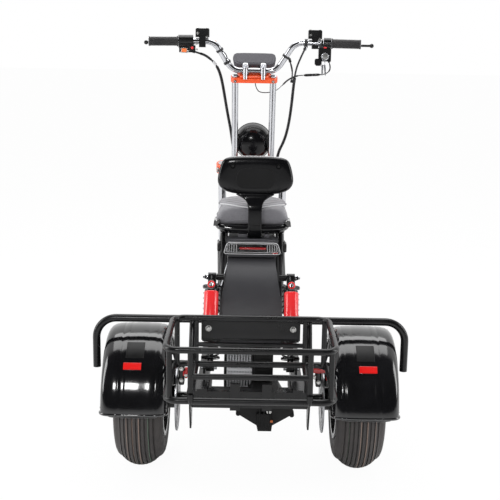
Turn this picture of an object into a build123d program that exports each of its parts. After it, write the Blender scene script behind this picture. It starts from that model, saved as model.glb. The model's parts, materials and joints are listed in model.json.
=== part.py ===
from build123d import *
from math import pi, radians, tan
import os

# Electric three-wheel scooter, millimetres.  +X right, +Y forward, +Z up.
# Places are measured from the rear axle, and from the front axle for the pieces that steer; both
# axles lie at one height.  save() lifts everything by the tyre's radius and moves it back by the
# middle of the length, so the origin lies on the ground under the middle of the scooter.

# ---- driving dimensions ---------------------------------------------------------------------
WHEELBASE = 1350.0
REAR_TRACK_HALF = 314.5
RAKE = 22.9

FIT = 0.05                   # radial running clearance of a shaft in its bore
SEAT_GAP = 0.3               # gap between a curved or soft piece and what it seats on

# wheels and brakes
TYRE_RADIUS = 200.0
TYRE_WIDTH = 140.0
TYRE_WALL = 14.0
TYRE_SHOULDER_DROP = 25.0
TYRE_SHOULDER_INSET = 17.0
BEAD_RADIUS = 101.6
BEAD_HALF_WIDTH = 62.0
RIM_WALL = 6.0
RIM_FLANGE = 14.0
RIM_WEB = 12.0
RIM_HOLES = 6
RIM_HOLE_CIRCLE = 72.0
RIM_HOLE_RADIUS = 15.0
HUB_RADIUS = 34.0
REAR_HUB_OUTER = 38.0
DISC_RADIUS = 100.0
DISC_THICKNESS = 4.0
DISC_CLEARANCE = 3.0
REAR_DISC_X = 213.0
FRONT_DISC_X = 89.5
FRONT_DISC_BORE = 14.05
REAR_SHAFT_RADIUS = 14.0
REAR_SHAFT_DEPTH = 60.0
REAR_CALIPER = (22.0, 28.0, 34.0)            # half width, depth and height
REAR_CALIPER_PLACE = (-6.0, 76.0)
FRONT_CALIPER = (9.0, 22.0, 30.0)
FRONT_CALIPER_PLACE = (-64.0, 52.0)
CALIPER_ARM = 5.0

# rear axle and motor
HOUSING_RADIUS = 31.0
HOUSING_END_X = 165.0
CASE_X = 45.0
CASE_HALF_DEPTH = 44.0
CASE_OUTLINE = [(-82, -34), (-82, -20), (-54, 12), (-38, 40), (38, 40), (54, 12), (82, -20), (82, -34),
                (22, -70), (20, -88), (-20, -88), (-24, -70)]
MOTOR_X = (-75.0, 10.0)
MOTOR_RADIUS = 62.0
MOTOR_PLACE = (96.0, 56.0)
FIN_COUNT = 36
FIN_HEIGHT = 8.0
FIN_THICKNESS = 3.0
FIN_MARGIN = 4.0

# rear frame
ARM_X = 137.0
ARM_HALF = 15.0
ARM_HALF_HEIGHT = 19.0
PIVOT_Y = 430.0
PIVOT_RADIUS = 16.0
CROSS_Y = (-112.0, -82.0)
CROSS_Z = (34.0, 58.0)
CROSS_OVERHANG = 14.0
BAND_DEPTH = 16.0
BAND_Z = (9.0, 35.0)
HANGER_X = (-42.0, 49.0)
HANGER_HALF = 14.0
HANGER_DEPTH = 9.0
HANGER_Z = (5.0, 84.0)
SADDLE_HALF_WIDTH = 24.0
SADDLE_HALF_LENGTH = 50.0
SADDLE_HEIGHT = 14.0
SHIELD_X = 174.0
SHIELD_THICKNESS = 5.0
SHIELD_OUTLINE = [(-52, 44), (-52, -16), (-16, -94), (16, -94), (52, -16), (52, 44)]
LUG_X = 132.0
LUG_THICKNESS = 6.0
LUG_HALF = 18.0

# main frame
FRAME_X = 97.0
FRAME_TUBE = 19.0
FRAME_Z = 46.0
FRAME_BEND = 80.0
FRAME_TAIL = 24.0
RAIL_X = 92.5
RAIL_TUBE = 10.0
RAIL_BEND = 45.0
RAIL_DROP = 14.0
RAIL_REAR = 360.0
POST_Y = 690.0
POST_LEAN = 10.0
SEAT_CROSS_Y = 670.0
DECK_CROSS_Y = 940.0
DOWN_TUBE_X = 14.0
DOWN_TUBE_LIFT = 20.0

# deck and battery
DECK_HALF = 165.0
DECK_REAR = 712.0
DECK_FRONT = 1010.0
DECK_THICKNESS = 6.0
DECK_CORNER = 30.0
BATTERY_Y = (470.0, 650.0)
BATTERY_Z = (36.0, 385.0)
BATTERY_WALL = 3.0
BATTERY_SPACE = 6.0
BATTERY_HEADROOM = 80.0

# seat and backrest
SEAT_REAR = 290.0
SEAT_FRONT = 730.0
SEAT_HALF = 127.0
SEAT_BASE_Z = 436.0
SEAT_TOP_Z = 516.0
SEAT_CORNER = 90.0
PAN_HALF = 104.0
PAN_MARGIN = 15.0
PAN_HEIGHT = 20.0
PAN_CORNER = 70.0
BACKREST_Y = 300.0
BACKREST_HALF = 119.0
BACKREST_OFFSET = 8.0
BACKREST_LOW_Z = 558.0
BACKREST_TOP_Z = 679.0
BACKREST_CORNER = 34.0
BACKREST_SHELL = 24.0
BACKREST_PAD = 48.0
BACKREST_PAD_INSET = 3.0
STRAP_WIDTH = 46.0
STRAP_REAR = 270.0
STRAP_THICKNESS = 8.0
STRAP_BEND = 16.0
STRAP_UNDER_SEAT = 130.0
STRAP_ON_SHELL = 70.0
STRAP_JOGGLE = 40.0

# tail
TAIL_LIGHT_Y = 218.0
TAIL_LIGHT_HALF = 87.0
TAIL_LIGHT_LOW_Z = 381.0
TAIL_LIGHT_TOP_Z = 425.0
LENS_DEPTH = 14.0
LENS_LIP = 7.0
LENS_MARGINS = (3.0, 12.0)
HOUSING_OVERLAP = 40.0
COWL_HALF = 90.0
COWL_TOP_HALF = 74.0
COWL_TAPER_Z = (270.0, 360.0)
COWL_THICKNESS = 3.0
COWL_REACH = 600.0
COWL_LOW = (48.0, 130.0)
COWL_MIDDLE = (118.0, 305.0)
COWL_TOP = (236.0, TAIL_LIGHT_LOW_Z - SEAT_GAP)

# rear fenders
FENDER_OFFSET = 8.0
FENDER_SIDE_GAP = 22.5
FENDER_TOP_GAP = 18.0
FENDER_SKIRT_DROP = 12.0
FENDER_WALL = 3.5
FENDER_CORNER = 22.0
FENDER_ANGLES = (22.0, 175.0)
REFLECTOR_HALF = (26.0, 11.0)
REFLECTOR_THICKNESS = 4.0
REFLECTOR_OFFSET = 4.0
REFLECTOR_ANGLE = 138.0
STAY_RADIUS = 7.0
STAY_Z = 138.0
STAY_INTO_SKIRT = 6.86
STAY_KNEE = (0.57, 0.717)                    # shares of the way out to the fender
STAY_BEND = 9.0

# roll bar
ROLL_BAR_RADIUS = 11.0
ROLL_BAR_SIDE_GAP = 16.0
ROLL_BAR_TOP_GAP = 30.0
ROLL_BAR_Y = -50.0
ROLL_BAR_END_Z = 107.0
ROLL_BAR_BEND = 58.0
UPRIGHT_X = 165.0
UPRIGHT_RADIUS = 10.0
UPRIGHT_FOOT = 102.0
UPRIGHT_BEND = 50.0

# basket
BASKET_SIDE_GAP = 7.0
BASKET_TOP_Z = 280.5
BASKET_LOW_Z = 147.0
BASKET_REAR = -420.5
BASKET_FRONT = -131.0
BASKET_TUBE = 8.5
BASKET_BEND = 34.0
BASKET_POST_X = 150.0
BASKET_POST_RADIUS = 7.5
BASKET_BAR_RADIUS = 6.5
BASKET_WIRE_RADIUS = 5.5
BASKET_BAR_Z = 212.0
BASKET_FRONT_BAR_Z = 204.0
BASKET_TAB_HALF = (10.0, 6.0)
BASKET_TAB_TO_CENTRE = 4.0
PLATE_HALF = 138.0
PLATE_LOW_Z = 214.0
PLATE_TOP_DROP = 2.0
PLATE_THICKNESS = 4.0
PLATE_BOLT_X = 118.0
PLATE_BOLT_Z = 248.0
PLATE_HOLE_RADIUS = 4.2

# shock absorbers
SHOCK_X = 118.0
SHOCK_TOP = (120.0, 336.0)
SHOCK_LOW = (4.0, 92.0)
SHOCK_PIN_RADIUS = 6.0
SHOCK_PIN_REACH = 22.0
SHOCK_EYE_RADIUS = 13.0
SHOCK_EYE_HALF = 12.0
SHOCK_BODY_RADIUS = 20.0
SHOCK_ROD_RADIUS = 9.0
SPRING_RADIUS = 27.0
SPRING_WIRE = 6.0
SPRING_SEAT = 6.0
SPRING_TOP = 30.0
SPRING_LOW = 26.0
RESERVOIR_RADIUS = 21.5
RESERVOIR_BACK = 50.0
RESERVOIR_ENDS = (36.0, 150.0)
RESERVOIR_NECK = 26.0

# fork and steering
STEM_OFFSET = 40.0
STEM_RADIUS = 15.0
STEM_BOSS_WALL = 13.0
HEAD_TUBE_WALL = 10.0
SLIDER_RADIUS = 21.0
SLIDER_ABOVE_TYRE = 25.0
SLIDER_DROP = 28.0
FORK_SIDE_GAP = 11.0
STANCHION_RADIUS = 15.5
STANCHION_PROUD = 4.0
LOWER_CROWN_Z = 325.0
MIDDLE_CROWN_Z = 562.0
CROWN_THICKNESS = 34.0
CROWN_DEPTH = 52.0
CROWN_END = 23.0
CROWN_GAP = 0.5
RISER_TUBE_X = 70.8
RISER_TUBE_RADIUS = 12.0
UPPER_CLAMP_Z = 954.0
UPPER_CLAMP_HALF = 87.0
UPPER_CLAMP_DEPTH = 38.0
UPPER_CLAMP_THICKNESS = 17.0
UPPER_CLAMP_CORNER = 16.0
UPPER_CLAMP_NOSE = 64.0
FRONT_AXLE_RADIUS = 8.0
FRONT_AXLE_REACH = 30.0
FRONT_FENDER_SIDE_GAP = 18.0
FRONT_FENDER_TOP_GAP = 24.0
FRONT_FENDER_ANGLES = (35.0, 150.0)
FENDER_TAB_HALF = 8.0

# handlebar and controls
BAR_RADIUS = 11.0
BAR_CENTRE = (0.0, -380.0, 916.0)
BAR_LOWER_CORNER = (81.0, -380.0, 916.0)
BAR_UPPER_CORNER = (149.0, -403.0, 1022.0)
BAR_END = (388.0, -428.0, 1019.0)
BAR_BEND = 58.0
BAR_CLAMP_X = 33.0
BAR_CLAMP_HALF = 11.0
BAR_CLAMP_WALL = 8.0
BAR_CLAMP_FOOT = 14.0
GRIP_RADIUS = 16.8
GRIP_LENGTH = 108.0
SWITCH_RADIUS = 20.0
RIGHT_SWITCH_LENGTH = 27.0
LEFT_SWITCH_RADIUS = 23.0
LEFT_SWITCH_LENGTH = 54.0
SWITCH_BOX = ((-276.0, -223.0), (-428.0, -396.0), (981.0, 1010.0))
KEY_HOUSING = ((234.0, 280.0), (-426.0, -398.0), (956.0, 1004.0))
RESERVOIR_BLOCK = (38.0, 29.0)
RESERVOIR_BACK_Y = -416.0
RESERVOIR_TOP_Z = 1065.0
LEVER_CLAMP = ((-420.0, -390.0), (1000.0, 1040.0))
LEVER_CLAMP_HALF = 12.0
LEVER_KNEE = (250.0, -365.0, 1014.0)
LEVER_PIVOT = (-392.0, 1018.0)
LEVER_TIP = (-374.0, 1014.0)
LEVER_ARM_RADIUS = 7.0
LEVER_RADIUS = 4.5
LEVER_BALL = 8.0
LEVER_REACH = {1: ((196.0, 246.0), 433.0), -1: ((-217.0, -167.0), -402.0)}

# headlight and display
HEADLIGHT_PLACE = (0.0, -200.0, 635.0)
HEADLIGHT_RADIUS = 73.0
HEADLIGHT_WALL = 3.0
HEADLIGHT_MOUTH = 8.0
LENS_PROUD = 16.0
BRACKET_HEIGHT = 14.0
BRACKET_WALL = 5.0
BRACKET_ARM = (2.0, 10.0)
BRACKET_REACH = 24.0
DISPLAY_PLACE = (0.0, -326.0, 953.0)
DISPLAY_TILT = 50.0
DISPLAY_WIDTH = 164.0
DISPLAY_HEIGHT = 66.0
DISPLAY_THICKNESS = 22.0
DISPLAY_FOOT_X = 20.0
DISPLAY_FOOT_Y = 48.0
DISPLAY_FOOT_RADIUS = 5.0
DISPLAY_FOOT_HEIGHT = 30.0
DISPLAY_FOOT_MARGIN = 8.0

# cables
HARNESS_DIAMETER = 7.0
LEAD_DIAMETER = 5.0
WIRE_DIAMETER = 3.5
GLAND_HEIGHT = 8.0
GLAND_WALL = 2.5
SOCKET_WALL = 2.5
SOCKET_LENGTH = 12.0
TIE_WALL = 3.0
TIE_HALF = 4.0
RIGHT_GLAND = (94.0, -14.0)
LEFT_GLAND = (-72.0, 19.8)
CLAMP_GLAND = (4.0, 20.0)
HARNESS_RING = (195.0, 206.0)                # in from the bar's right end
LEAD_TIE = 0.52                              # share of the bar's rise
LOOP_TIES = (0.70, 0.29)
CONNECTOR_ENDS = ((243.0, -408.0, 907.5), (181.0, -401.0, 904.0))
CONNECTOR_RADIUS = 5.0
CONNECTOR_LEADS = (16.0, 18.0)
SPLITTER_HALF = 9.0
SPLITTER_SHARE = 0.63

# ---- sizes that follow ------------------------------------------------------------------------
MIDDLE_Y = (WHEELBASE + TYRE_RADIUS + BASKET_REAR - BASKET_TUBE) / 2
FRONT = Pos(0, WHEELBASE, 0)
FORK = FRONT * Rot(RAKE, 0, 0)
fender_x = REAR_TRACK_HALF + FENDER_OFFSET
fender_half = TYRE_WIDTH / 2 + FENDER_SIDE_GAP
fender_radius = TYRE_RADIUS + FENDER_TOP_GAP
fender_skirt = TYRE_RADIUS - FENDER_SKIRT_DROP
basket_half = fender_x - fender_half - BASKET_SIDE_GAP - BASKET_TUBE
roll_bar_half = fender_x + fender_half + ROLL_BAR_SIDE_GAP + ROLL_BAR_RADIUS
roll_bar_z = (fender_radius ** 2 - ROLL_BAR_Y ** 2) ** 0.5 + ROLL_BAR_TOP_GAP + ROLL_BAR_RADIUS
front_fender_half = TYRE_WIDTH / 2 + FRONT_FENDER_SIDE_GAP
leg_x = front_fender_half + FORK_SIDE_GAP + SLIDER_RADIUS
slider_top = TYRE_RADIUS + SLIDER_ABOVE_TYRE
middle_top = MIDDLE_CROWN_Z + CROWN_THICKNESS
clamp_top = UPPER_CLAMP_Z + UPPER_CLAMP_THICKNESS


# ---- helpers --------------------------------------------------------------------------------
def save(node, *pieces):
    """Write one node, its pieces kept as separate solids, moved to the scooter's origin."""
    place = Pos(0, -MIDDLE_Y, TYRE_RADIUS)
    solids = [solid.moved(place) for piece in pieces for solid in piece.solids()]
    export_step(Compound(children=solids) if len(solids) > 1 else solids[0], f"parts/{node}.step")


def block(x, y, z):
    """A box from three pairs of end values."""
    size = [abs(high - low) for low, high in (x, y, z)]
    centre = [(high + low) / 2 for low, high in (x, y, z)]
    return Pos(*centre) * Box(*size)


def rod(start, end, radius):
    """A round bar between two points."""
    line = Vector(*end) - Vector(*start)
    return extrude(Plane(origin=start, z_dir=line) * Circle(radius), line.length)


def axle_rod(x_low, x_high, radius, y=0.0, z=0.0):
    """A round bar across the scooter."""
    return rod((x_low, y, z), (x_high, y, z), radius)


def bent_tube(points, bend, radius):
    """A round bar along straight runs joined by bends."""
    path = FilletPolyline(*points, radius=bend)
    return sweep(Plane(origin=path @ 0, z_dir=path % 0) * Circle(radius), path=path)


def stadium(half_width, depth, thickness, corner):
    """A flat plate with rounded corners, centred, standing on its lower face."""
    return extrude(RectangleRounded(2 * half_width, depth, corner), thickness)


def mirrored(shape):
    """The same piece on the other side of the scooter."""
    return mirror(shape, about=Plane.YZ)


def both_sides(shape):
    """A right-hand piece and its left-hand twin."""
    return [shape, mirrored(shape)]


os.makedirs("parts", exist_ok=True)


# ---- wheels ---------------------------------------------------------------------------------
def tyre_outline(inset):
    """A tyre's cross-section in the XZ plane, Z outward from the axle."""
    half = TYRE_WIDTH / 2 - inset
    crown = TYRE_RADIUS - inset
    shoulder = crown - TYRE_SHOULDER_DROP
    shoulder_x = half - TYRE_SHOULDER_INSET
    bead = BEAD_RADIUS + RIM_WALL
    heel = BEAD_HALF_WIDTH - SEAT_GAP - inset
    side_z = bead + 18
    widest = (bead + TYRE_RADIUS) / 2
    line = Polyline((-heel, bead), (-heel, bead + 10), (-half + 6, side_z))
    line += ThreePointArc((-half + 6, side_z), (-half, widest), (-shoulder_x, shoulder))
    line += ThreePointArc((-shoulder_x, shoulder), (0, crown), (shoulder_x, shoulder))
    line += ThreePointArc((shoulder_x, shoulder), (half, widest), (half - 6, side_z))
    line += Polyline((half - 6, side_z), (heel, bead + 10), (heel, bead), (-heel, bead))
    return Plane.XZ * make_face(line)


def tyre():
    """A hollow tyre about the X axis, centred on the origin."""
    return revolve(tyre_outline(0), Axis.X) - revolve(tyre_outline(TYRE_WALL), Axis.X)


def rim(bore, hub_left, hub_right):
    """A rim with its web, vent holes and hub, about the X axis."""
    lip = BEAD_HALF_WIDTH + RIM_WALL
    barrel = axle_rod(-lip, lip, BEAD_RADIUS + RIM_WALL - SEAT_GAP)
    barrel -= axle_rod(-lip, lip, BEAD_RADIUS)
    for side in (-1, 1):
        ring = axle_rod(side * (BEAD_HALF_WIDTH + 1), side * lip, BEAD_RADIUS + RIM_FLANGE)
        barrel += ring - axle_rod(side * BEAD_HALF_WIDTH, side * (lip + 1), BEAD_RADIUS)
    web = axle_rod(-RIM_WEB / 2, RIM_WEB / 2, BEAD_RADIUS + 1)
    for index in range(RIM_HOLES):
        hole = Pos(0, 0, RIM_HOLE_CIRCLE) * axle_rod(-RIM_WEB, RIM_WEB, RIM_HOLE_RADIUS)
        web -= Rot(360 / RIM_HOLES * index, 0, 0) * hole
    hub = axle_rod(-hub_left, hub_right, HUB_RADIUS)
    return barrel + web + hub - axle_rod(-hub_left - 1, hub_right + 1, bore)


def brake_disc(x, bore):
    """A brake disc about the X axis at x, with its vent slots left to the finish."""
    outer = axle_rod(x - DISC_THICKNESS / 2, x + DISC_THICKNESS / 2, DISC_RADIUS)
    return outer - axle_rod(x - DISC_THICKNESS, x + DISC_THICKNESS, bore)


front_hub_reach = FRONT_DISC_X - DISC_THICKNESS / 2
save("front_tyre", FRONT * tyre())
save("front_rim", FRONT * rim(FRONT_AXLE_RADIUS + FIT, front_hub_reach, front_hub_reach))
save("front_disc", FRONT * brake_disc(FRONT_DISC_X, FRONT_DISC_BORE))

disc_face = REAR_DISC_X + DISC_THICKNESS / 2
rear_rim = Pos(REAR_TRACK_HALF, 0, 0) * rim(REAR_SHAFT_RADIUS - 1, REAR_TRACK_HALF - disc_face, REAR_HUB_OUTER)
rear_rim += axle_rod(HOUSING_END_X - REAR_SHAFT_DEPTH, REAR_TRACK_HALF + REAR_HUB_OUTER, REAR_SHAFT_RADIUS)
rear_disc = brake_disc(REAR_DISC_X, REAR_SHAFT_RADIUS + SEAT_GAP)
rear_wheel = {"tyre": Pos(REAR_TRACK_HALF, 0, 0) * tyre(), "rim": rear_rim, "disc": rear_disc}
for piece, solid in rear_wheel.items():
    save(f"rear_right_{piece}", solid)
    save(f"rear_left_{piece}", mirrored(solid))


# ---- rear axle ------------------------------------------------------------------------------
def axle_housing():
    """The axle beam with its differential case, bored for the two wheel shafts."""
    body = axle_rod(-HOUSING_END_X, HOUSING_END_X, HOUSING_RADIUS)
    outline = make_face(Polyline(CASE_OUTLINE, close=True))
    body += Pos(CASE_X, 0, 0) * extrude(Plane.XZ * outline, CASE_HALF_DEPTH, both=True)
    bore_start = HOUSING_END_X - REAR_SHAFT_DEPTH - 2
    bore = axle_rod(bore_start, HOUSING_END_X + 1, REAR_SHAFT_RADIUS + FIT)
    body -= bore
    body -= mirrored(bore)
    start, finish = MOTOR_X
    return body - axle_rod(start - 2, finish + 2, MOTOR_RADIUS + SEAT_GAP, *MOTOR_PLACE)


def drive_motor():
    """The motor beside the differential, with fins along its length."""
    start, finish = MOTOR_X
    body = axle_rod(start, finish, MOTOR_RADIUS - FIN_HEIGHT, *MOTOR_PLACE)
    fin_x = (start + FIN_MARGIN, finish - FIN_MARGIN)
    fin_z = (MOTOR_RADIUS - 1.5 * FIN_HEIGHT, MOTOR_RADIUS)
    for index in range(FIN_COUNT):
        turn = Rot(360 / FIN_COUNT * index, 0, 0)
        body += Pos(0, *MOTOR_PLACE) * turn * block(fin_x, (-FIN_THICKNESS / 2, FIN_THICKNESS / 2), fin_z)
    return body


save("drive_motor", drive_motor())
save("axle_housing", axle_housing())


# ---- rear frame, which carries the axle ------------------------------------------------------
def rear_frame():
    """Two box arms over the axle, joined by a rear cross-member with plates and end shields."""
    seat = HOUSING_RADIUS
    arm_x = (ARM_X - ARM_HALF, ARM_X + ARM_HALF)
    arm_z = (FRAME_Z - ARM_HALF_HEIGHT, FRAME_Z + ARM_HALF_HEIGHT)
    saddle_z = (seat - SADDLE_HEIGHT / 2, seat + SADDLE_HEIGHT / 2)
    saddle_y = (-SADDLE_HALF_LENGTH, SADDLE_HALF_LENGTH)
    plate = make_face(Polyline(SHIELD_OUTLINE, close=True))
    shield = extrude(Plane.YZ * plate, SHIELD_THICKNESS / 2, both=True)
    lug_x = (LUG_X, LUG_X + LUG_THICKNESS)
    lug_y = (SHOCK_LOW[0] - LUG_HALF, SHOCK_LOW[0] + LUG_HALF)
    side = block(arm_x, (CROSS_Y[0], PIVOT_Y + ARM_HALF), arm_z)
    side += block(arm_x, CROSS_Y, (FRAME_Z, CROSS_Z[1]))
    side += block((ARM_X - SADDLE_HALF_WIDTH, ARM_X + SADDLE_HALF_WIDTH), saddle_y, saddle_z)
    side += block((ARM_X, SHIELD_X), saddle_y, saddle_z)
    side += Pos(SHIELD_X, 0, 0) * shield
    side += block(lug_x, lug_y, (FRAME_Z, SHOCK_LOW[1] + SHOCK_EYE_RADIUS))
    side += axle_rod(SHOCK_X - SHOCK_EYE_HALF - 4, LUG_X + 2, SHOCK_PIN_RADIUS, *SHOCK_LOW)
    frame = side + mirrored(side)
    frame += block((-UPRIGHT_X - CROSS_OVERHANG, UPRIGHT_X + CROSS_OVERHANG), CROSS_Y, CROSS_Z)
    for x in HANGER_X:
        frame += block((x - HANGER_HALF, x + HANGER_HALF), (CROSS_Y[0] - HANGER_DEPTH, CROSS_Y[0] + 1),
                       HANGER_Z)
    frame += block((-UPRIGHT_X, UPRIGHT_X), (CROSS_Y[0], CROSS_Y[0] + BAND_DEPTH), BAND_Z)
    frame -= axle_rod(-SHIELD_X - 10, SHIELD_X + 10, HOUSING_RADIUS + SEAT_GAP)
    return frame - axle_rod(-ARM_X - 20, ARM_X + 20, PIVOT_RADIUS + SEAT_GAP, PIVOT_Y, FRAME_Z)


rail_z = SEAT_BASE_Z - RAIL_DROP
head_low = LOWER_CROWN_Z + CROWN_THICKNESS + CROWN_GAP
head_high = MIDDLE_CROWN_Z - CROWN_GAP


def down_tube(radius):
    """The right-hand tube from the head, down and back along the deck to the pivot."""
    joint = (FORK * Pos(0, -STEM_OFFSET, (head_low + head_high) / 2 + DOWN_TUBE_LIFT)).position
    return bent_tube([(DOWN_TUBE_X, joint.Y, joint.Z), (FRAME_X, DECK_FRONT, FRAME_Z),
                      (FRAME_X, PIVOT_Y - FRAME_TAIL, FRAME_Z)], FRAME_BEND, radius)


def main_frame():
    """The welded tube frame: head tube, down tubes, deck rails, seat rails, pivot and shock mounts."""
    side = down_tube(FRAME_TUBE)
    side += bent_tube([(FRAME_X, POST_Y, FRAME_Z), (RAIL_X, POST_Y - POST_LEAN, rail_z),
                       (RAIL_X, RAIL_REAR, rail_z), (RAIL_X, *SHOCK_TOP)], RAIL_BEND, RAIL_TUBE)
    side += rod((FRAME_X, PIVOT_Y, FRAME_Z), (RAIL_X, RAIL_REAR, rail_z), RAIL_TUBE)
    frame = side + mirrored(side)
    frame += FORK * rod((0, -STEM_OFFSET, head_low), (0, -STEM_OFFSET, head_high), STEM_RADIUS + HEAD_TUBE_WALL)
    shock_inner = SHOCK_X - SHOCK_EYE_HALF - 1
    shock_mount = axle_rod(RAIL_X - RAIL_TUBE, shock_inner, RAIL_TUBE, *SHOCK_TOP)
    shock_mount += axle_rod(RAIL_X, SHOCK_X + SHOCK_PIN_REACH, SHOCK_PIN_RADIUS, *SHOCK_TOP)
    frame += shock_mount + mirrored(shock_mount)
    frame += axle_rod(-RAIL_X, RAIL_X, RAIL_TUBE, SEAT_CROSS_Y, rail_z)
    frame += axle_rod(-FRAME_X, FRAME_X, RAIL_TUBE, DECK_CROSS_Y, FRAME_Z)
    pivot_reach = ARM_X - ARM_HALF - SEAT_GAP
    frame += axle_rod(-pivot_reach, pivot_reach, PIVOT_RADIUS, PIVOT_Y, FRAME_Z)
    bore = rod((0, -STEM_OFFSET, head_low - 5), (0, -STEM_OFFSET, head_high + 5), STEM_RADIUS + FIT)
    return frame - FORK * bore


save("rear_frame", rear_frame())
save("main_frame", main_frame())


# ---- deck, battery, seat ---------------------------------------------------------------------
def shell_box(x, y, z, wall):
    """A closed thin-walled case."""
    inner = [(low + wall, high - wall) for low, high in (x, y, z)]
    return block(x, y, z) - block(*inner)


deck_low = FRAME_Z + FRAME_TUBE + SEAT_GAP
deck = stadium(DECK_HALF, DECK_FRONT - DECK_REAR, DECK_THICKNESS, DECK_CORNER)
deck = Pos(0, (DECK_REAR + DECK_FRONT) / 2, deck_low) * deck
notch = down_tube(FRAME_TUBE + SEAT_GAP)
save("footboard", deck - notch - mirrored(notch))
battery_half = FRAME_X - FRAME_TUBE - SEAT_GAP
case_x = (-battery_half, battery_half)
save("battery_box", shell_box(case_x, BATTERY_Y, BATTERY_Z, BATTERY_WALL))
pack_inset = BATTERY_WALL + BATTERY_SPACE
pack_sides = [(low + pack_inset, high - pack_inset) for low, high in (case_x, BATTERY_Y)]
pack_z = (BATTERY_Z[0] + BATTERY_WALL + SEAT_GAP, BATTERY_Z[1] - BATTERY_HEADROOM)
save("battery_pack", block(*pack_sides, pack_z))

seat_length = SEAT_FRONT - SEAT_REAR
seat_middle = (SEAT_FRONT + SEAT_REAR) / 2
pan_low = rail_z + RAIL_TUBE + SEAT_GAP
cushion_low = pan_low + PAN_HEIGHT + SEAT_GAP
seat_pan = stadium(PAN_HALF, seat_length - 2 * PAN_MARGIN, PAN_HEIGHT, PAN_CORNER)
seat_cushion = stadium(SEAT_HALF, seat_length, SEAT_TOP_Z - cushion_low, SEAT_CORNER)
save("seat_pan", Pos(0, seat_middle, pan_low) * seat_pan)
save("seat_cushion", Pos(0, seat_middle, cushion_low) * seat_cushion)


def strap(points, bend, width, thickness):
    """A flat bar across the scooter, bent along a side-view line."""
    path = FilletPolyline(*points, radius=bend)
    plane = Plane(origin=path @ 0, z_dir=path % 0, x_dir=(1, 0, 0))
    return sweep(plane * Rectangle(width, thickness), path=path)


def backrest_panel(rear, front, inset):
    """A rounded panel standing across the scooter."""
    height = BACKREST_TOP_Z - BACKREST_LOW_Z
    panel = RectangleRounded(2 * (BACKREST_HALF - inset), height - 2 * inset, BACKREST_CORNER)
    middle = (BACKREST_TOP_Z + BACKREST_LOW_Z) / 2
    return Pos(0, rear, middle) * extrude(Plane.XZ * panel, rear - front)


shell_rear = BACKREST_Y - BACKREST_SHELL / 2
strap_y = shell_rear - STRAP_THICKNESS / 2 - SEAT_GAP
strap_z = pan_low - STRAP_THICKNESS / 2 - SEAT_GAP
strap_points = [(0, SEAT_REAR + STRAP_UNDER_SEAT, strap_z), (0, STRAP_REAR, strap_z),
                (0, STRAP_REAR, BACKREST_LOW_Z - STRAP_JOGGLE), (0, strap_y, BACKREST_LOW_Z + 4),
                (0, strap_y, BACKREST_LOW_Z + STRAP_ON_SHELL)]
offset = Pos(BACKREST_OFFSET, 0, 0)
save("backrest_arm", offset * strap(strap_points, STRAP_BEND, STRAP_WIDTH, STRAP_THICKNESS))
save("backrest_shell", offset * backrest_panel(shell_rear, shell_rear + BACKREST_SHELL, 0))
pad_rear = shell_rear + BACKREST_SHELL + SEAT_GAP
save("backrest_pad", offset * backrest_panel(pad_rear, pad_rear + BACKREST_PAD, BACKREST_PAD_INSET))


# ---- tail ------------------------------------------------------------------------------------
def rear_cowl():
    """A curved cover between the rails, from under the tail light down to the axle."""
    low_y, low_z = COWL_LOW
    top_y, top_z = COWL_TOP
    middle_y, middle_z = COWL_MIDDLE
    wall = COWL_THICKNESS
    outer = ThreePointArc((top_y, top_z), (middle_y, middle_z), (low_y, low_z))
    inner = ThreePointArc((low_y + wall, low_z), (middle_y + wall, middle_z - wall), (top_y, top_z - wall))
    outline = outer + Line((low_y, low_z), (low_y + wall, low_z)) + inner
    outline += Line((top_y, top_z - wall), (top_y, top_z))
    sheet = extrude(Plane.YZ * make_face(outline), COWL_HALF, both=True)
    taper_low, taper_high = COWL_TAPER_Z
    right_edge = [(COWL_HALF, 0), (COWL_HALF, taper_low), (COWL_TOP_HALF, taper_high),
                  (COWL_TOP_HALF, top_z + 9)]
    left_edge = [(-x, z) for x, z in reversed(right_edge)]
    sheet &= extrude(Plane.XZ * make_face(Polyline(right_edge + left_edge, close=True)), COWL_REACH, both=True)
    return sheet


light_x = (LENS_LIP - TAIL_LIGHT_HALF, TAIL_LIGHT_HALF - LENS_LIP)
light_top = strap_z - STRAP_THICKNESS / 2 - SEAT_GAP
light_y = (TAIL_LIGHT_Y, STRAP_REAR + HOUSING_OVERLAP)
save("tail_light_housing", block(light_x, light_y, (TAIL_LIGHT_LOW_Z, light_top)))
light_lens_y = (TAIL_LIGHT_Y - LENS_DEPTH, TAIL_LIGHT_Y - SEAT_GAP)
light_lens_z = (TAIL_LIGHT_LOW_Z + LENS_MARGINS[0], TAIL_LIGHT_TOP_Z - LENS_MARGINS[1])
save("tail_light_lens", block((-TAIL_LIGHT_HALF, TAIL_LIGHT_HALF), light_lens_y, light_lens_z))
save("rear_cowl", rear_cowl())


# ---- shock absorbers -------------------------------------------------------------------------
shock_line = Vector(0, *SHOCK_LOW) - Vector(0, *SHOCK_TOP)
shock_length = shock_line.length


def along_shock(distance, back=0.0):
    """A point down the shock's line, moved back square to it."""
    down = shock_line.normalized()
    return SHOCK_X, SHOCK_TOP[0] + down.Y * distance + down.Z * back, \
        SHOCK_TOP[1] + down.Z * distance - down.Y * back


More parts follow.
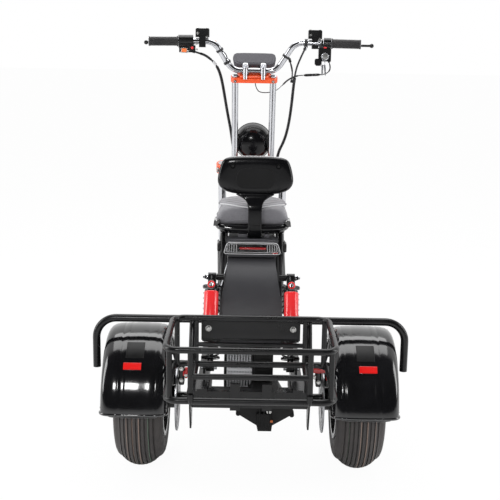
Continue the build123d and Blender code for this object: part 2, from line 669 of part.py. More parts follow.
def shock_absorber():
    """The damper with its two eyes on the pins, spring seats and reservoir neck."""
    body = rod(along_shock(0), along_shock(shock_length * 0.55), SHOCK_BODY_RADIUS)
    body += rod(along_shock(shock_length * 0.5), along_shock(shock_length), SHOCK_ROD_RADIUS)
    body += rod(along_shock(SPRING_TOP), along_shock(SPRING_TOP + SPRING_SEAT), SPRING_RADIUS)
    low_seat = shock_length - SPRING_LOW
    body += rod(along_shock(low_seat - SPRING_SEAT), along_shock(low_seat), SPRING_RADIUS)
    body += rod(along_shock(RESERVOIR_NECK), along_shock(RESERVOIR_NECK, RESERVOIR_BACK), SHOCK_ROD_RADIUS)
    for place in (SHOCK_TOP, SHOCK_LOW):
        for side in (-1, 1):
            body -= axle_rod(SHOCK_X + side * SHOCK_EYE_HALF, SHOCK_X + side * 40, 40, *place)
        body += axle_rod(SHOCK_X - SHOCK_EYE_HALF, SHOCK_X + SHOCK_EYE_HALF, SHOCK_EYE_RADIUS, *place)
        body -= axle_rod(SHOCK_X - 40, SHOCK_X + 40, SHOCK_PIN_RADIUS + FIT, *place)
    return body


spring_ends = (along_shock(SPRING_TOP + SPRING_SEAT + SEAT_GAP),
               along_shock(shock_length - SPRING_LOW - SPRING_SEAT - SEAT_GAP))
spring = rod(*spring_ends, SPRING_RADIUS) - rod(*spring_ends, SPRING_RADIUS - SPRING_WIRE)
reservoir = rod(*[along_shock(distance, RESERVOIR_BACK) for distance in RESERVOIR_ENDS], RESERVOIR_RADIUS)
save("shock_absorbers", *both_sides(shock_absorber()))
save("shock_springs", *both_sides(spring))
save("shock_reservoirs", *both_sides(reservoir))


# ---- rear fenders, stays, roll bar and basket -------------------------------------------------
def fender_outline(half, top, low):
    """The outline of a fender's cross-section, in the XZ plane about the axle."""
    outline = Polyline((-half, low), (-half, top - FENDER_CORNER), (-half + FENDER_CORNER, top),
                       (half - FENDER_CORNER, top), (half, top - FENDER_CORNER), (half, low), close=True)
    return Plane.XZ * make_face(outline)


def fender(half, top, low, start, finish):
    """A fender about the X axis, from one angle above +Y to another."""
    section = fender_outline(half, top, low) - fender_outline(half - FENDER_WALL, top - FENDER_WALL, low)
    return Rot(start - 90, 0, 0) * revolve(section, Axis.X, finish - start)


rear_fender = fender(fender_half, fender_radius, fender_skirt, *FENDER_ANGLES)
for side, name in ((1, "right"), (-1, "left")):
    save(f"fender_{name}", Pos(side * fender_x, 0, 0) * rear_fender)

across, along = REFLECTOR_HALF
reflector_z = (fender_radius + SEAT_GAP, fender_radius + REFLECTOR_THICKNESS)
reflector = block((-across, across), (-along, along), reflector_z)
reflector = Pos(fender_x + REFLECTOR_OFFSET, 0, 0) * Rot(REFLECTOR_ANGLE - 90, 0, 0) * reflector
save("reflectors", *both_sides(reflector))

cross_y = sum(CROSS_Y) / 2
upright_route = [(UPRIGHT_X, cross_y, CROSS_Z[1] + SEAT_GAP), (UPRIGHT_X, cross_y, CROSS_Z[1] + UPRIGHT_FOOT),
                 (UPRIGHT_X, ROLL_BAR_Y, roll_bar_z)]
upright = bent_tube(upright_route, UPRIGHT_BEND, UPRIGHT_RADIUS)
stay_start = UPRIGHT_X + UPRIGHT_RADIUS + SEAT_GAP
stay_end = fender_x - fender_half - SEAT_GAP
stay_knees = [stay_start + share * (stay_end - stay_start) for share in STAY_KNEE]
stay_high = ((fender_skirt + STAY_INTO_SKIRT) ** 2 - cross_y ** 2) ** 0.5
stay = bent_tube([(stay_start, cross_y, STAY_Z), (stay_knees[0], cross_y, STAY_Z),
                  (stay_knees[1], cross_y, stay_high), (stay_end, cross_y, stay_high)], STAY_BEND, STAY_RADIUS)
save("fender_stays", *both_sides(stay))
tab_half_x, tab_half_z = BASKET_TAB_HALF
basket_tab = block((UPRIGHT_X - tab_half_x, UPRIGHT_X + tab_half_x),
                   (BASKET_FRONT + BASKET_TUBE + SEAT_GAP, cross_y - BASKET_TAB_TO_CENTRE),
                   (BASKET_LOW_Z - tab_half_z, BASKET_LOW_Z + tab_half_z))
roll_bar = bent_tube([(-roll_bar_half, ROLL_BAR_Y, ROLL_BAR_END_Z), (-roll_bar_half, ROLL_BAR_Y, roll_bar_z),
                      (roll_bar_half, ROLL_BAR_Y, roll_bar_z), (roll_bar_half, ROLL_BAR_Y, ROLL_BAR_END_Z)],
                     ROLL_BAR_BEND, ROLL_BAR_RADIUS)
for piece in both_sides(upright) + both_sides(basket_tab):
    roll_bar += piece
save("roll_bar", roll_bar)


def rim_loop(z):
    """One rounded rectangular loop of the basket."""
    outline = RectangleRounded(2 * basket_half, BASKET_FRONT - BASKET_REAR, BASKET_BEND)
    wire = (Pos(0, (BASKET_FRONT + BASKET_REAR) / 2, z) * outline).face().outer_wire()
    return sweep(Plane(origin=wire @ 0, z_dir=wire % 0) * Circle(BASKET_TUBE), path=wire)


def rear_basket():
    """The tube basket: two loops, corner posts, rear and front bars and floor bars."""
    basket = rim_loop(BASKET_TOP_Z) + rim_loop(BASKET_LOW_Z)
    corner = BASKET_BEND * 0.3
    for x in (corner - basket_half, basket_half - corner):
        for y in (BASKET_REAR + corner, BASKET_FRONT - corner):
            basket += rod((x, y, BASKET_LOW_Z), (x, y, BASKET_TOP_Z), BASKET_POST_RADIUS)
    for x in (-BASKET_POST_X, BASKET_POST_X):
        basket += rod((x, BASKET_REAR, BASKET_LOW_Z), (x, BASKET_REAR, BASKET_TOP_Z), BASKET_POST_RADIUS)
        basket += rod((x, BASKET_FRONT, BASKET_LOW_Z), (x, BASKET_FRONT, BASKET_TOP_Z), BASKET_WIRE_RADIUS)
        basket += rod((x, BASKET_REAR, BASKET_LOW_Z), (x, BASKET_FRONT, BASKET_LOW_Z), BASKET_BAR_RADIUS)
    basket += axle_rod(-BASKET_POST_X, BASKET_POST_X, BASKET_POST_RADIUS, BASKET_REAR, BASKET_BAR_Z)
    basket += axle_rod(-BASKET_POST_X, BASKET_POST_X, BASKET_BAR_RADIUS, BASKET_FRONT, BASKET_FRONT_BAR_Z)
    return basket


plate_y = BASKET_FRONT + BASKET_TUBE + SEAT_GAP
basket_plate = block((-PLATE_HALF, PLATE_HALF), (plate_y, plate_y + PLATE_THICKNESS),
                     (PLATE_LOW_Z, BASKET_TOP_Z - PLATE_TOP_DROP))
for x in (-PLATE_BOLT_X, PLATE_BOLT_X):
    basket_plate -= rod((x, plate_y - 5, PLATE_BOLT_Z), (x, plate_y + 10, PLATE_BOLT_Z), PLATE_HOLE_RADIUS)
save("rear_basket", rear_basket())
save("basket_plate", basket_plate)


def caliper(x, place, half_sizes):
    """A brake caliper slotted for a disc at x, placed from the axle at the origin."""
    half_width, half_depth, half_height = half_sizes
    y, z = place
    body = Pos(x, y, z) * Box(2 * half_width, 2 * half_depth, 2 * half_height)
    slot = DISC_THICKNESS / 2 + DISC_CLEARANCE
    return body - axle_rod(x - slot, x + slot, DISC_RADIUS + DISC_CLEARANCE)


shield_face = SHIELD_X + SHIELD_THICKNESS / 2 + SEAT_GAP
rear_caliper = caliper(REAR_DISC_X, REAR_CALIPER_PLACE, REAR_CALIPER)
rear_caliper += block((shield_face, REAR_DISC_X - CALIPER_ARM - DISC_CLEARANCE), (-20, 8), (20, 60))
save("rear_calipers", *both_sides(rear_caliper))


# ---- fork ------------------------------------------------------------------------------------
def crown(low_z):
    """A fork crown: wide plate with leg bores and a boss for the stem."""
    boss = STEM_RADIUS + STEM_BOSS_WALL
    plate = stadium(leg_x + CROWN_END, CROWN_DEPTH, CROWN_THICKNESS, CROWN_DEPTH / 2 - 1)
    plate += Pos(0, -STEM_OFFSET, CROWN_THICKNESS / 2) * Cylinder(boss, CROWN_THICKNESS)
    plate += block((-boss, boss), (-STEM_OFFSET, 0), (0, CROWN_THICKNESS))
    for x in (-leg_x, leg_x):
        plate -= rod((x, 0, -5), (x, 0, CROWN_THICKNESS + 5), STANCHION_RADIUS + FIT)
    return Pos(0, 0, low_z) * plate


def stem(low_z, high_z, radius):
    """A round bar on the steering axis, in the fork's own frame."""
    return rod((0, -STEM_OFFSET, low_z), (0, -STEM_OFFSET, high_z), radius)


save("lower_crown", FORK * (crown(LOWER_CROWN_Z) + stem(LOWER_CROWN_Z, middle_top + 10, STEM_RADIUS)))
middle_crown = crown(MIDDLE_CROWN_Z) - stem(MIDDLE_CROWN_Z - 5, middle_top + 5, STEM_RADIUS + FIT)
save("middle_crown", FORK * middle_crown)
riser_tube = rod((RISER_TUBE_X, 0, middle_top), (RISER_TUBE_X, 0, UPPER_CLAMP_Z), RISER_TUBE_RADIUS)
save("riser_tubes", *[FORK * tube for tube in both_sides(riser_tube)])
stanchion = rod((leg_x, 0, slider_top), (leg_x, 0, middle_top + STANCHION_PROUD), STANCHION_RADIUS)
save("fork_stanchions", *[FORK * leg for leg in both_sides(stanchion)])
slider = rod((leg_x, 0, -SLIDER_DROP), (leg_x, 0, slider_top), SLIDER_RADIUS)
slider -= axle_rod(leg_x - 40, leg_x + 40, FRONT_AXLE_RADIUS + FIT)
save("fork_sliders", *[FORK * leg for leg in both_sides(slider)])
save("front_axle", FORK * axle_rod(-leg_x - FRONT_AXLE_REACH, leg_x + FRONT_AXLE_REACH, FRONT_AXLE_RADIUS))

slider_face = leg_x - SLIDER_RADIUS - SEAT_GAP
front_caliper = caliper(FRONT_DISC_X, FRONT_CALIPER_PLACE, FRONT_CALIPER)
front_caliper += block((FRONT_DISC_X + CALIPER_ARM, slider_face), (-60, 0), (36, 66))
save("front_caliper", FORK * front_caliper)
front_skirt = TYRE_RADIUS - FENDER_SKIRT_DROP
front_fender = fender(front_fender_half, TYRE_RADIUS + FRONT_FENDER_TOP_GAP, front_skirt, *FRONT_FENDER_ANGLES)
tab = block((front_fender_half - 3, slider_face), (-FENDER_TAB_HALF, FENDER_TAB_HALF),
            (front_skirt + 1, front_skirt + 1 + FENDER_TAB_HALF))
save("front_fender", FRONT * front_fender + FORK * tab + FORK * mirrored(tab))
upper_clamp = stadium(UPPER_CLAMP_HALF, UPPER_CLAMP_DEPTH, UPPER_CLAMP_THICKNESS, UPPER_CLAMP_CORNER)
upper_clamp += block((-UPPER_CLAMP_NOSE, UPPER_CLAMP_NOSE), (0, DISPLAY_FOOT_Y + DISPLAY_FOOT_MARGIN),
                     (0, UPPER_CLAMP_THICKNESS))
save("upper_clamp", FORK * Pos(0, 0, UPPER_CLAMP_Z) * upper_clamp)


# ---- handlebar and controls, measured from the front axle ---------------------------------------
def front_mirror(point):
    """The same point on the left side."""
    x, y, z = point
    return -x, y, z


bar_corners = [BAR_LOWER_CORNER, BAR_UPPER_CORNER, BAR_END]
bar_points = [front_mirror(point) for point in reversed(bar_corners)] + bar_corners
handlebar = bent_tube(bar_points, BAR_BEND, BAR_RADIUS)
save("handlebar", FRONT * handlebar)
bar_tip = Vector(*BAR_END)
inward = (Vector(*BAR_UPPER_CORNER) - bar_tip).normalized()


def bar_sleeve(start, finish, radius):
    """A sleeve on the straight end of the bar, from and to distances in from the bar's end."""
    ends = (tuple(bar_tip + inward * start), tuple(bar_tip + inward * finish))
    return rod(*ends, radius) - rod(*ends, BAR_RADIUS + FIT)


save("handle_grips", *[FRONT * grip for grip in both_sides(bar_sleeve(0.0, GRIP_LENGTH, GRIP_RADIUS))])
bar_local = Rot(RAKE, 0, 0).inverse() * Pos(*BAR_CENTRE)
bar_y = bar_local.position.Y
bar_z = bar_local.position.Z
clamp_x = (BAR_CLAMP_X - BAR_CLAMP_HALF, BAR_CLAMP_X + BAR_CLAMP_HALF)
bar_clamp = block(clamp_x, (bar_y - BAR_CLAMP_FOOT, bar_y + BAR_CLAMP_FOOT), (clamp_top, bar_z))
bar_clamp += axle_rod(*clamp_x, BAR_RADIUS + BAR_CLAMP_WALL, bar_y, bar_z)
bar_clamp -= axle_rod(0, 2 * BAR_CLAMP_X, BAR_RADIUS + FIT, bar_y, bar_z)
save("bar_clamps", *[FORK * piece for piece in both_sides(bar_clamp)])


def brake_lever(side):
    """A master cylinder with its clamp, square reservoir and lever."""
    reservoir_x, tip_x = LEVER_REACH[side]
    width, height = RESERVOIR_BLOCK
    middle = sum(reservoir_x) / 2
    knee = (side * LEVER_KNEE[0], *LEVER_KNEE[1:])
    reservoir_y = (RESERVOIR_BACK_Y, RESERVOIR_BACK_Y + width)
    piece = block(reservoir_x, reservoir_y, (RESERVOIR_TOP_Z - height, RESERVOIR_TOP_Z))
    piece += block((middle - LEVER_CLAMP_HALF, middle + LEVER_CLAMP_HALF), *LEVER_CLAMP)
    piece += rod((middle, *LEVER_PIVOT), knee, LEVER_ARM_RADIUS)
    piece += rod(knee, (tip_x, *LEVER_TIP), LEVER_RADIUS)
    piece += Pos(tip_x, *LEVER_TIP) * Sphere(LEVER_BALL)
    bar = rod(tuple(bar_tip), tuple(bar_tip + inward * 230), BAR_RADIUS + FIT)
    return piece - (bar if side > 0 else mirrored(bar))


save("brake_levers", FRONT * brake_lever(1), FRONT * brake_lever(-1))
display = Pos(*DISPLAY_PLACE) * Rot(DISPLAY_TILT, 0, 0) * Pos(0, 0, -DISPLAY_THICKNESS / 2) * \
    stadium(DISPLAY_WIDTH / 2, DISPLAY_HEIGHT, DISPLAY_THICKNESS, DISPLAY_HEIGHT / 2 - 1)
for x in (-DISPLAY_FOOT_X, DISPLAY_FOOT_X):
    display += Rot(RAKE, 0, 0) * rod((x, DISPLAY_FOOT_Y, clamp_top + SEAT_GAP),
                                     (x, DISPLAY_FOOT_Y, clamp_top + DISPLAY_FOOT_HEIGHT), DISPLAY_FOOT_RADIUS)
save("display", FRONT * display)


# ---- headlight --------------------------------------------------------------------------------
def headlight_shell():
    """A bowl about the Y axis, open at the front, with arms to the riser tubes."""
    reach = HEADLIGHT_RADIUS + 1
    bowl = Sphere(HEADLIGHT_RADIUS) - Sphere(HEADLIGHT_RADIUS - HEADLIGHT_WALL)
    bowl -= block((-reach, reach), (HEADLIGHT_MOUTH, reach), (-reach, reach))
    place = (Rot(RAKE, 0, 0).inverse() * Pos(*HEADLIGHT_PLACE)).position
    low = place.Z - BRACKET_HEIGHT / 2
    inner, outer = BRACKET_ARM
    arm = rod((RISER_TUBE_X, 0, low), (RISER_TUBE_X, 0, low + BRACKET_HEIGHT), RISER_TUBE_RADIUS + BRACKET_WALL)
    arm_x = (RISER_TUBE_X - outer, RISER_TUBE_X - inner)
    arm += block(arm_x, (0, place.Y - BRACKET_REACH), (low, low + BRACKET_HEIGHT))
    high = low + BRACKET_HEIGHT + 5
    arm -= rod((RISER_TUBE_X, 0, low - 5), (RISER_TUBE_X, 0, high), RISER_TUBE_RADIUS + SEAT_GAP)
    arms = Rot(RAKE, 0, 0) * arm + Rot(RAKE, 0, 0) * mirrored(arm)
    return Pos(*HEADLIGHT_PLACE) * bowl + arms


lens_y = (HEADLIGHT_MOUTH + SEAT_GAP, HEADLIGHT_MOUTH + LENS_PROUD)
lens_slab = block((-HEADLIGHT_RADIUS, HEADLIGHT_RADIUS), lens_y, (-HEADLIGHT_RADIUS, HEADLIGHT_RADIUS))
save("headlight_shell", FRONT * headlight_shell())
save("headlight_lens", FRONT * Pos(*HEADLIGHT_PLACE) * (Sphere(HEADLIGHT_RADIUS) & lens_slab))


# ---- cables, measured from the front axle --------------------------------------------------------
def on_fork(place, z):
    """A point at a place and height in the fork's own frame."""
    return tuple((Rot(RAKE, 0, 0) * Pos(*place, z)).position)


def on_rise(share, side):
    """A point on the bar's slanted rise, as a share of its length, on one side."""
    point = Vector(*BAR_LOWER_CORNER) * (1 - share) + Vector(*BAR_UPPER_CORNER) * share
    return tuple(point) if side > 0 else front_mirror(tuple(point))


def beyond(start, through, distance):
    """The point past a run's second end, or before its first when the distance is negative."""
    direction = (Vector(*through) - Vector(*start)).normalized()
    base = Vector(*through) if distance > 0 else Vector(*start)
    return tuple(base + direction * distance)


def cable_bends(points):
    """The bend radius at each corner of a cable's route, as large as its two runs allow."""
    route = [Vector(*point) for point in points]
    radii = []
    for before, corner, after in zip(route, route[1:], route[2:]):
        turn = (corner - before).get_angle(after - corner)
        shorter = min((corner - before).length, (after - corner).length)
        radii.append(0.45 * shorter / tan(radians(turn / 2)))
    return radii


def cable(node, diameter, points):
    """Write one cable as straight runs and tangent bends, and print its length and bends."""
    radii = cable_bends(points)
    path = FilletPolyline(*points, radius=radii)
    tube = sweep(Plane(origin=path @ 0, z_dir=path % 0) * Circle(diameter / 2), path=path)
    expected = pi * diameter ** 2 / 4 * path.length
    print(f"{node}: length {path.length:.1f}, volume ratio {tube.volume / expected:.4f}, "
          f"bends {[round(radius) for radius in radii]}")
    save(node, FRONT * tube)


def socket(first, second, diameter, length=SOCKET_LENGTH):
    """A round socket that ends face to face with a cable's first point, in line with its first run."""
    return rod(beyond(first, second, -length), first, diameter / 2 + SOCKET_WALL)


def rise_tie(share, side):
    """A ring round the bar's slanted rise."""
    centre = Vector(*on_rise(share, side))
    along = (Vector(*on_rise(1, side)) - Vector(*on_rise(0, side))).normalized()
    return rod(tuple(centre - along * TIE_HALF), tuple(centre + along * TIE_HALF), BAR_RADIUS + TIE_WALL)


gland_top = middle_top + GLAND_HEIGHT
clamp_gland_low = UPPER_CLAMP_Z - GLAND_HEIGHT
right_harness = [(183, -405, 996), (169, -401, 966), (153, -393, 922), (147, -374, 862), (143, -344, 792),
                 (135, -314, 715), (121, -288, 650), on_fork(RIGHT_GLAND, gland_top + 46),
                 on_fork(RIGHT_GLAND, gland_top)]
left_harness = [(-219, -409, 983), (-203, -406, 978), (-185, -402, 973), (-165, -395, 960), (-143, -385, 939),
                (-127, -368, 905), (-117, -342, 858), (-108, -310, 800), (-98, -282, 740), (-87, -253, 682),
                (-80, -227, 625), on_fork(LEFT_GLAND, gland_top + 30), on_fork(LEFT_GLAND, gland_top)]
right_lead = [(133, -387, 950), (139, -387, 930), (142, -385, 908), (140, -378, 884)]
left_loop = [(-122, -411, 989), (-111, -414, 983), (-103, -412, 972), (-101, -408, 959), (-105, -402, 946)]
key_end, display_end = CONNECTOR_ENDS
key_lead = [(275, -412, 952), (280, -412, 938), (277, -411, 920),
            beyond(display_end, key_end, CONNECTOR_LEADS[0]), key_end]
display_lead = [display_end, beyond(key_end, display_end, CONNECTOR_LEADS[1]), (143, -393, 896), (122, -380, 883),
                (104, -361, 862), (85, -343, 844), (67, -336, 837), (50, -332, 834.5), (31, -331, 834),
                (14, -333.5, 840), on_fork(CLAMP_GLAND, clamp_gland_low - 16), on_fork(CLAMP_GLAND, clamp_gland_low)]
cable("right_harness", HARNESS_DIAMETER, right_harness)
cable("left_harness", HARNESS_DIAMETER, left_harness)
cable("right_lead", LEAD_DIAMETER, right_lead)
cable("left_loop", WIRE_DIAMETER, left_loop)
cable("key_lead", WIRE_DIAMETER, key_lead)
cable("display_lead", WIRE_DIAMETER, display_lead)
save("key_connector", FRONT * rod(key_end, display_end, CONNECTOR_RADIUS))

harness_gland = HARNESS_DIAMETER / 2 + GLAND_WALL
fittings = [Rot(RAKE, 0, 0) * rod((*place, middle_top + SEAT_GAP), (*place, gland_top), harness_gland)
            for place in (RIGHT_GLAND, LEFT_GLAND)]
fittings.append(Rot(RAKE, 0, 0) * rod((*CLAMP_GLAND, UPPER_CLAMP_Z - SEAT_GAP), (*CLAMP_GLAND, clamp_gland_low),
                                      WIRE_DIAMETER / 2 + GLAND_WALL))
harness_ring = bar_sleeve(*HARNESS_RING, BAR_RADIUS + TIE_WALL)
fittings.append(harness_ring + socket(*right_harness[:2], HARNESS_DIAMETER, 16) - handlebar)
lead_tie = rise_tie(LEAD_TIE, 1) + socket(*right_lead[:2], LEAD_DIAMETER, 15)
loop_start = rise_tie(LOOP_TIES[0], -1) + socket(*left_loop[:2], WIRE_DIAMETER, 7)
loop_end = rise_tie(LOOP_TIES[1], -1) + socket(left_loop[-1], left_loop[-2], WIRE_DIAMETER, 7)
fittings.extend(piece - handlebar for piece in (lead_tie, loop_start, loop_end))
splitter_line = (Vector(*right_harness[2]), Vector(*right_harness[3]))
splitter_centre = splitter_line[0] * (1 - SPLITTER_SHARE) + splitter_line[1] * SPLITTER_SHARE
splitter_along = (splitter_line[1] - splitter_line[0]).normalized() * SPLITTER_HALF
splitter_ends = (tuple(splitter_centre - splitter_along), tuple(splitter_centre + splitter_along))
splitter = rod(*splitter_ends, harness_gland) + socket(right_lead[-1], right_lead[-2], LEAD_DIAMETER, 8)
fittings.append(splitter - rod(*splitter_ends, HARNESS_DIAMETER / 2 + SEAT_GAP))
save("cable_fittings", *[FRONT * piece for piece in fittings])

left_pod = mirrored(bar_sleeve(GRIP_LENGTH + 1, GRIP_LENGTH + 1 + LEFT_SWITCH_LENGTH, LEFT_SWITCH_RADIUS))
left_pod += block(*SWITCH_BOX) + socket(*left_harness[:2], HARNESS_DIAMETER)
left_pod -= handlebar
right_pod = bar_sleeve(GRIP_LENGTH + 1, GRIP_LENGTH + 1 + RIGHT_SWITCH_LENGTH, SWITCH_RADIUS)
pod_space = rod(tuple(bar_tip), tuple(bar_tip + inward * 170), SWITCH_RADIUS + SEAT_GAP)
key_housing = block(*KEY_HOUSING) - pod_space + socket(*key_lead[:2], WIRE_DIAMETER, 7)
save("handlebar_switches", *[FRONT * piece for piece in (left_pod, right_pod, key_housing)])
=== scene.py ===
"""The looks of an electric three-wheel scooter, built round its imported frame, in metres."""

import json
import logging
import math
from collections.abc import Iterator, Sequence
from contextlib import contextmanager
from dataclasses import dataclass, field
from enum import Enum
from typing import Any

import bpy
import numpy as np
from mathutils import Matrix, Vector


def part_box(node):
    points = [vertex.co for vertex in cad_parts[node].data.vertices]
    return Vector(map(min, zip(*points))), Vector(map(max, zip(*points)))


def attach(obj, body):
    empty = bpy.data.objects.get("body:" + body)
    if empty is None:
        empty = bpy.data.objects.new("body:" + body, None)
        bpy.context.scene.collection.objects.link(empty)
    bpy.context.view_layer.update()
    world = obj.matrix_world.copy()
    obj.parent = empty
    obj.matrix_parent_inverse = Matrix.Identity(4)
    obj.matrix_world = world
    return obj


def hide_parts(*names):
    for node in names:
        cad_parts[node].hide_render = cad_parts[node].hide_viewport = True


log = logging.getLogger("scooter")
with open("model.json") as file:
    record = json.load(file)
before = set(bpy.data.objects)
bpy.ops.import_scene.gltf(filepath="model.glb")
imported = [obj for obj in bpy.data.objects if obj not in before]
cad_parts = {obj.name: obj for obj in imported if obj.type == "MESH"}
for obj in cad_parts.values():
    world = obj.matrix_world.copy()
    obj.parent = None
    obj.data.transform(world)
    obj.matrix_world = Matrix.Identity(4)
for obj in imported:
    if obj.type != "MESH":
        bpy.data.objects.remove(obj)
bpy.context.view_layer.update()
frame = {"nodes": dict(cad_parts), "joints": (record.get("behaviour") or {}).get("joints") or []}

MM = 0.001
Point = Sequence[float]
Pair = tuple[float, float]
Triple = tuple[float, float, float]
Pairs = tuple[Pair, ...]
Triples = tuple[Triple, ...]
Colour = Triple
ACROSS = Vector((1, 0, 0))
FORWARD = Vector((0, 1, 0))
UP = Vector((0, 0, 1))
SPIN_UP = -ACROSS
FORK_UP = Vector(frame["joints"][0]["axis"])
FORK_FORWARD = Vector((0, FORK_UP.z, -FORK_UP.y))


def middle(node: str) -> Vector:
    """The middle of a CAD node's box."""
    low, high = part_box(node)
    return (low + high) / 2


REAR_AXLE = Vector((0, middle("rear_left_tyre").y, middle("rear_left_tyre").z))
FRONT_AXLE = Vector((0, middle("front_tyre").y, middle("front_tyre").z))


def rear(x: float, y: float, z: float) -> Vector:
    """A place measured in millimetres from the rear axle."""
    return REAR_AXLE + Vector((x, y, z)) * MM


def front(x: float, y: float, z: float) -> Vector:
    """A place measured in millimetres from the front axle."""
    return FRONT_AXLE + Vector((x, y, z)) * MM


def fork(x: float, y: float, z: float) -> Vector:
    """A place in the fork's own raked lines, in millimetres from the front axle."""
    return FRONT_AXLE + (ACROSS * x + FORK_FORWARD * y + FORK_UP * z) * MM


# ---- finishes ---------------------------------------------------------------------------------
def tint(red: float, green: float, blue: float) -> Colour:
    """A linear colour from display values of 0 to 255."""
    def linear(value: float) -> float:
        """One channel, from display to linear."""
        share = value / 255
        return share / 12.92 if share <= 0.04045 else ((share + 0.055) / 1.055) ** 2.4
    return linear(red), linear(green), linear(blue)


class Graph:
    """The nodes of one material, with a principled shader at their end."""

    def __init__(self, name: str) -> None:
        """Start a material that has its shader and its object coordinates."""
        self.material = bpy.data.materials.new(name)
        self.material.use_nodes = True
        self.tree = self.material.node_tree
        self.tree.nodes.clear()
        output = self.add("ShaderNodeOutputMaterial")
        self.shader = self.add("ShaderNodeBsdfPrincipled")
        self.tree.links.new(self.shader.outputs[0], output.inputs["Surface"])
        self.coords = self.add("ShaderNodeTexCoord").outputs["Object"]

    def add(self, kind: str, **settings: Any) -> bpy.types.Node:
        """Add a node with its settings."""
        node = self.tree.nodes.new(kind)
        for key, value in settings.items():
            setattr(node, key, value)
        return node

    def fill(self, socket: bpy.types.NodeSocket, value: Any) -> None:
        """Link a socket into another, or set its value."""
        if isinstance(value, bpy.types.NodeSocket):
            self.tree.links.new(value, socket)
        elif isinstance(value, tuple) and len(value) == 3 and socket.type == "RGBA":
            socket.default_value = (*value, 1)
        else:
            socket.default_value = value

    def set(self, **values: Any) -> None:
        """Fill the shader's sockets; underscores stand for spaces."""
        for key, value in values.items():
            self.fill(self.shader.inputs[key.replace("_", " ")], value)

    def mapped(self, stretch: Point) -> bpy.types.NodeSocket:
        """The object's coordinates, stretched."""
        node = self.add("ShaderNodeMapping")
        self.fill(node.inputs["Vector"], self.coords)
        node.inputs["Scale"].default_value = stretch
        return node.outputs[0]

    def noise(self, scale: float, detail: float, rough: float, coords: Any = None) -> bpy.types.NodeSocket:
        """Soft noise of a scale, in marks a metre."""
        node = self.add("ShaderNodeTexNoise")
        self.fill(node.inputs["Vector"], coords or self.coords)
        for key, value in (("Scale", scale), ("Detail", detail), ("Roughness", rough)):
            node.inputs[key].default_value = value
        return node.outputs["Fac"]

    def cells(self, scale: float, coords: Any) -> bpy.types.NodeSocket:
        """Distance to the edges of cells of a scale, in cells a metre."""
        node = self.add("ShaderNodeTexVoronoi", feature="DISTANCE_TO_EDGE")
        self.fill(node.inputs["Vector"], coords)
        node.inputs["Scale"].default_value = scale
        return node.outputs["Distance"]

    def waves(self, scale: float, axis: str) -> bpy.types.NodeSocket:
        """Straight bands across an axis."""
        node = self.add("ShaderNodeTexWave", wave_type="BANDS", bands_direction=axis)
        self.fill(node.inputs["Vector"], self.coords)
        node.inputs["Scale"].default_value = scale
        return node.outputs["Fac"]

    def ramp(self, value: Any, *stops: tuple[float, Any]) -> bpy.types.NodeSocket:
        """Colours or levels set along a value."""
        node = self.add("ShaderNodeValToRGB")
        self.fill(node.inputs["Fac"], value)
        elements = node.color_ramp.elements
        while len(elements) < len(stops):
            elements.new(0.5)
        for element, (place, shade) in zip(elements, stops):
            element.position = place
            element.color = (*shade, 1) if isinstance(shade, tuple) else (shade, shade, shade, 1)
        return node.outputs["Color"]

    def mix(self, amount: Any, first: Any, second: Any) -> bpy.types.NodeSocket:
        """One colour passing into another."""
        node = self.add("ShaderNodeMix", data_type="RGBA")
        for index, value in ((0, amount), (6, first), (7, second)):
            self.fill(node.inputs[index], value)
        return node.outputs[2]

    def maths(self, operation: str, first: Any, second: Any = 0.0) -> bpy.types.NodeSocket:
        """One sum on two values."""
        node = self.add("ShaderNodeMath", operation=operation)
        self.fill(node.inputs[0], first)
        self.fill(node.inputs[1], second)
        return node.outputs[0]

    def axis(self, name: str) -> bpy.types.NodeSocket:
        """One of the coordinates, in metres."""
        node = self.add("ShaderNodeSeparateXYZ")
        self.fill(node.inputs[0], self.coords)
        return node.outputs[name]

    def bump(self, height: Any, depth: float, strength: float = 1.0,
             under: Any = None) -> bpy.types.NodeSocket:
        """A normal raised by a height, to a depth in metres."""
        node = self.add("ShaderNodeBump")
        self.fill(node.inputs["Height"], height)
        node.inputs["Distance"].default_value = depth
        node.inputs["Strength"].default_value = strength
        if under is not None:
            self.fill(node.inputs["Normal"], under)
        return node.outputs[0]


@dataclass(frozen=True)
class Coat:
    """Paint, powder coat or moulded plastic."""

    colour: Colour
    roughness: float = 0.35
    spread: float = 0.08
    clear: float = 0.0
    grain: float = 900.0
    depth: float = 0.00005
    dust: Colour = (0.05, 0.05, 0.05)
    dust_share: float = 0.12
    ripple: float = 0.0
    shine: float = 0.5

    def make(self, name: str) -> bpy.types.Material:
        """Build the material."""
        g = Graph(name)
        cloud = g.noise(9, 5, 0.6)
        speck = g.noise(self.grain, 2, 0.6)
        low, high = self.roughness - self.spread, self.roughness + self.spread
        dusty = g.ramp(cloud, (0.45, 0.0), (0.8, self.dust_share))
        g.set(Base_Color=g.mix(dusty, self.colour, self.dust),
              Roughness=g.ramp(cloud, (0.3, low), (0.75, high)),
              Coat_Weight=self.clear, Coat_Roughness=0.04, Specular_IOR_Level=self.shine)
        normal = g.bump(speck, self.depth)
        if self.ripple:
            normal = g.bump(g.noise(26, 2, 0.4), self.ripple, under=normal)
        g.set(Normal=normal)
        return g.material


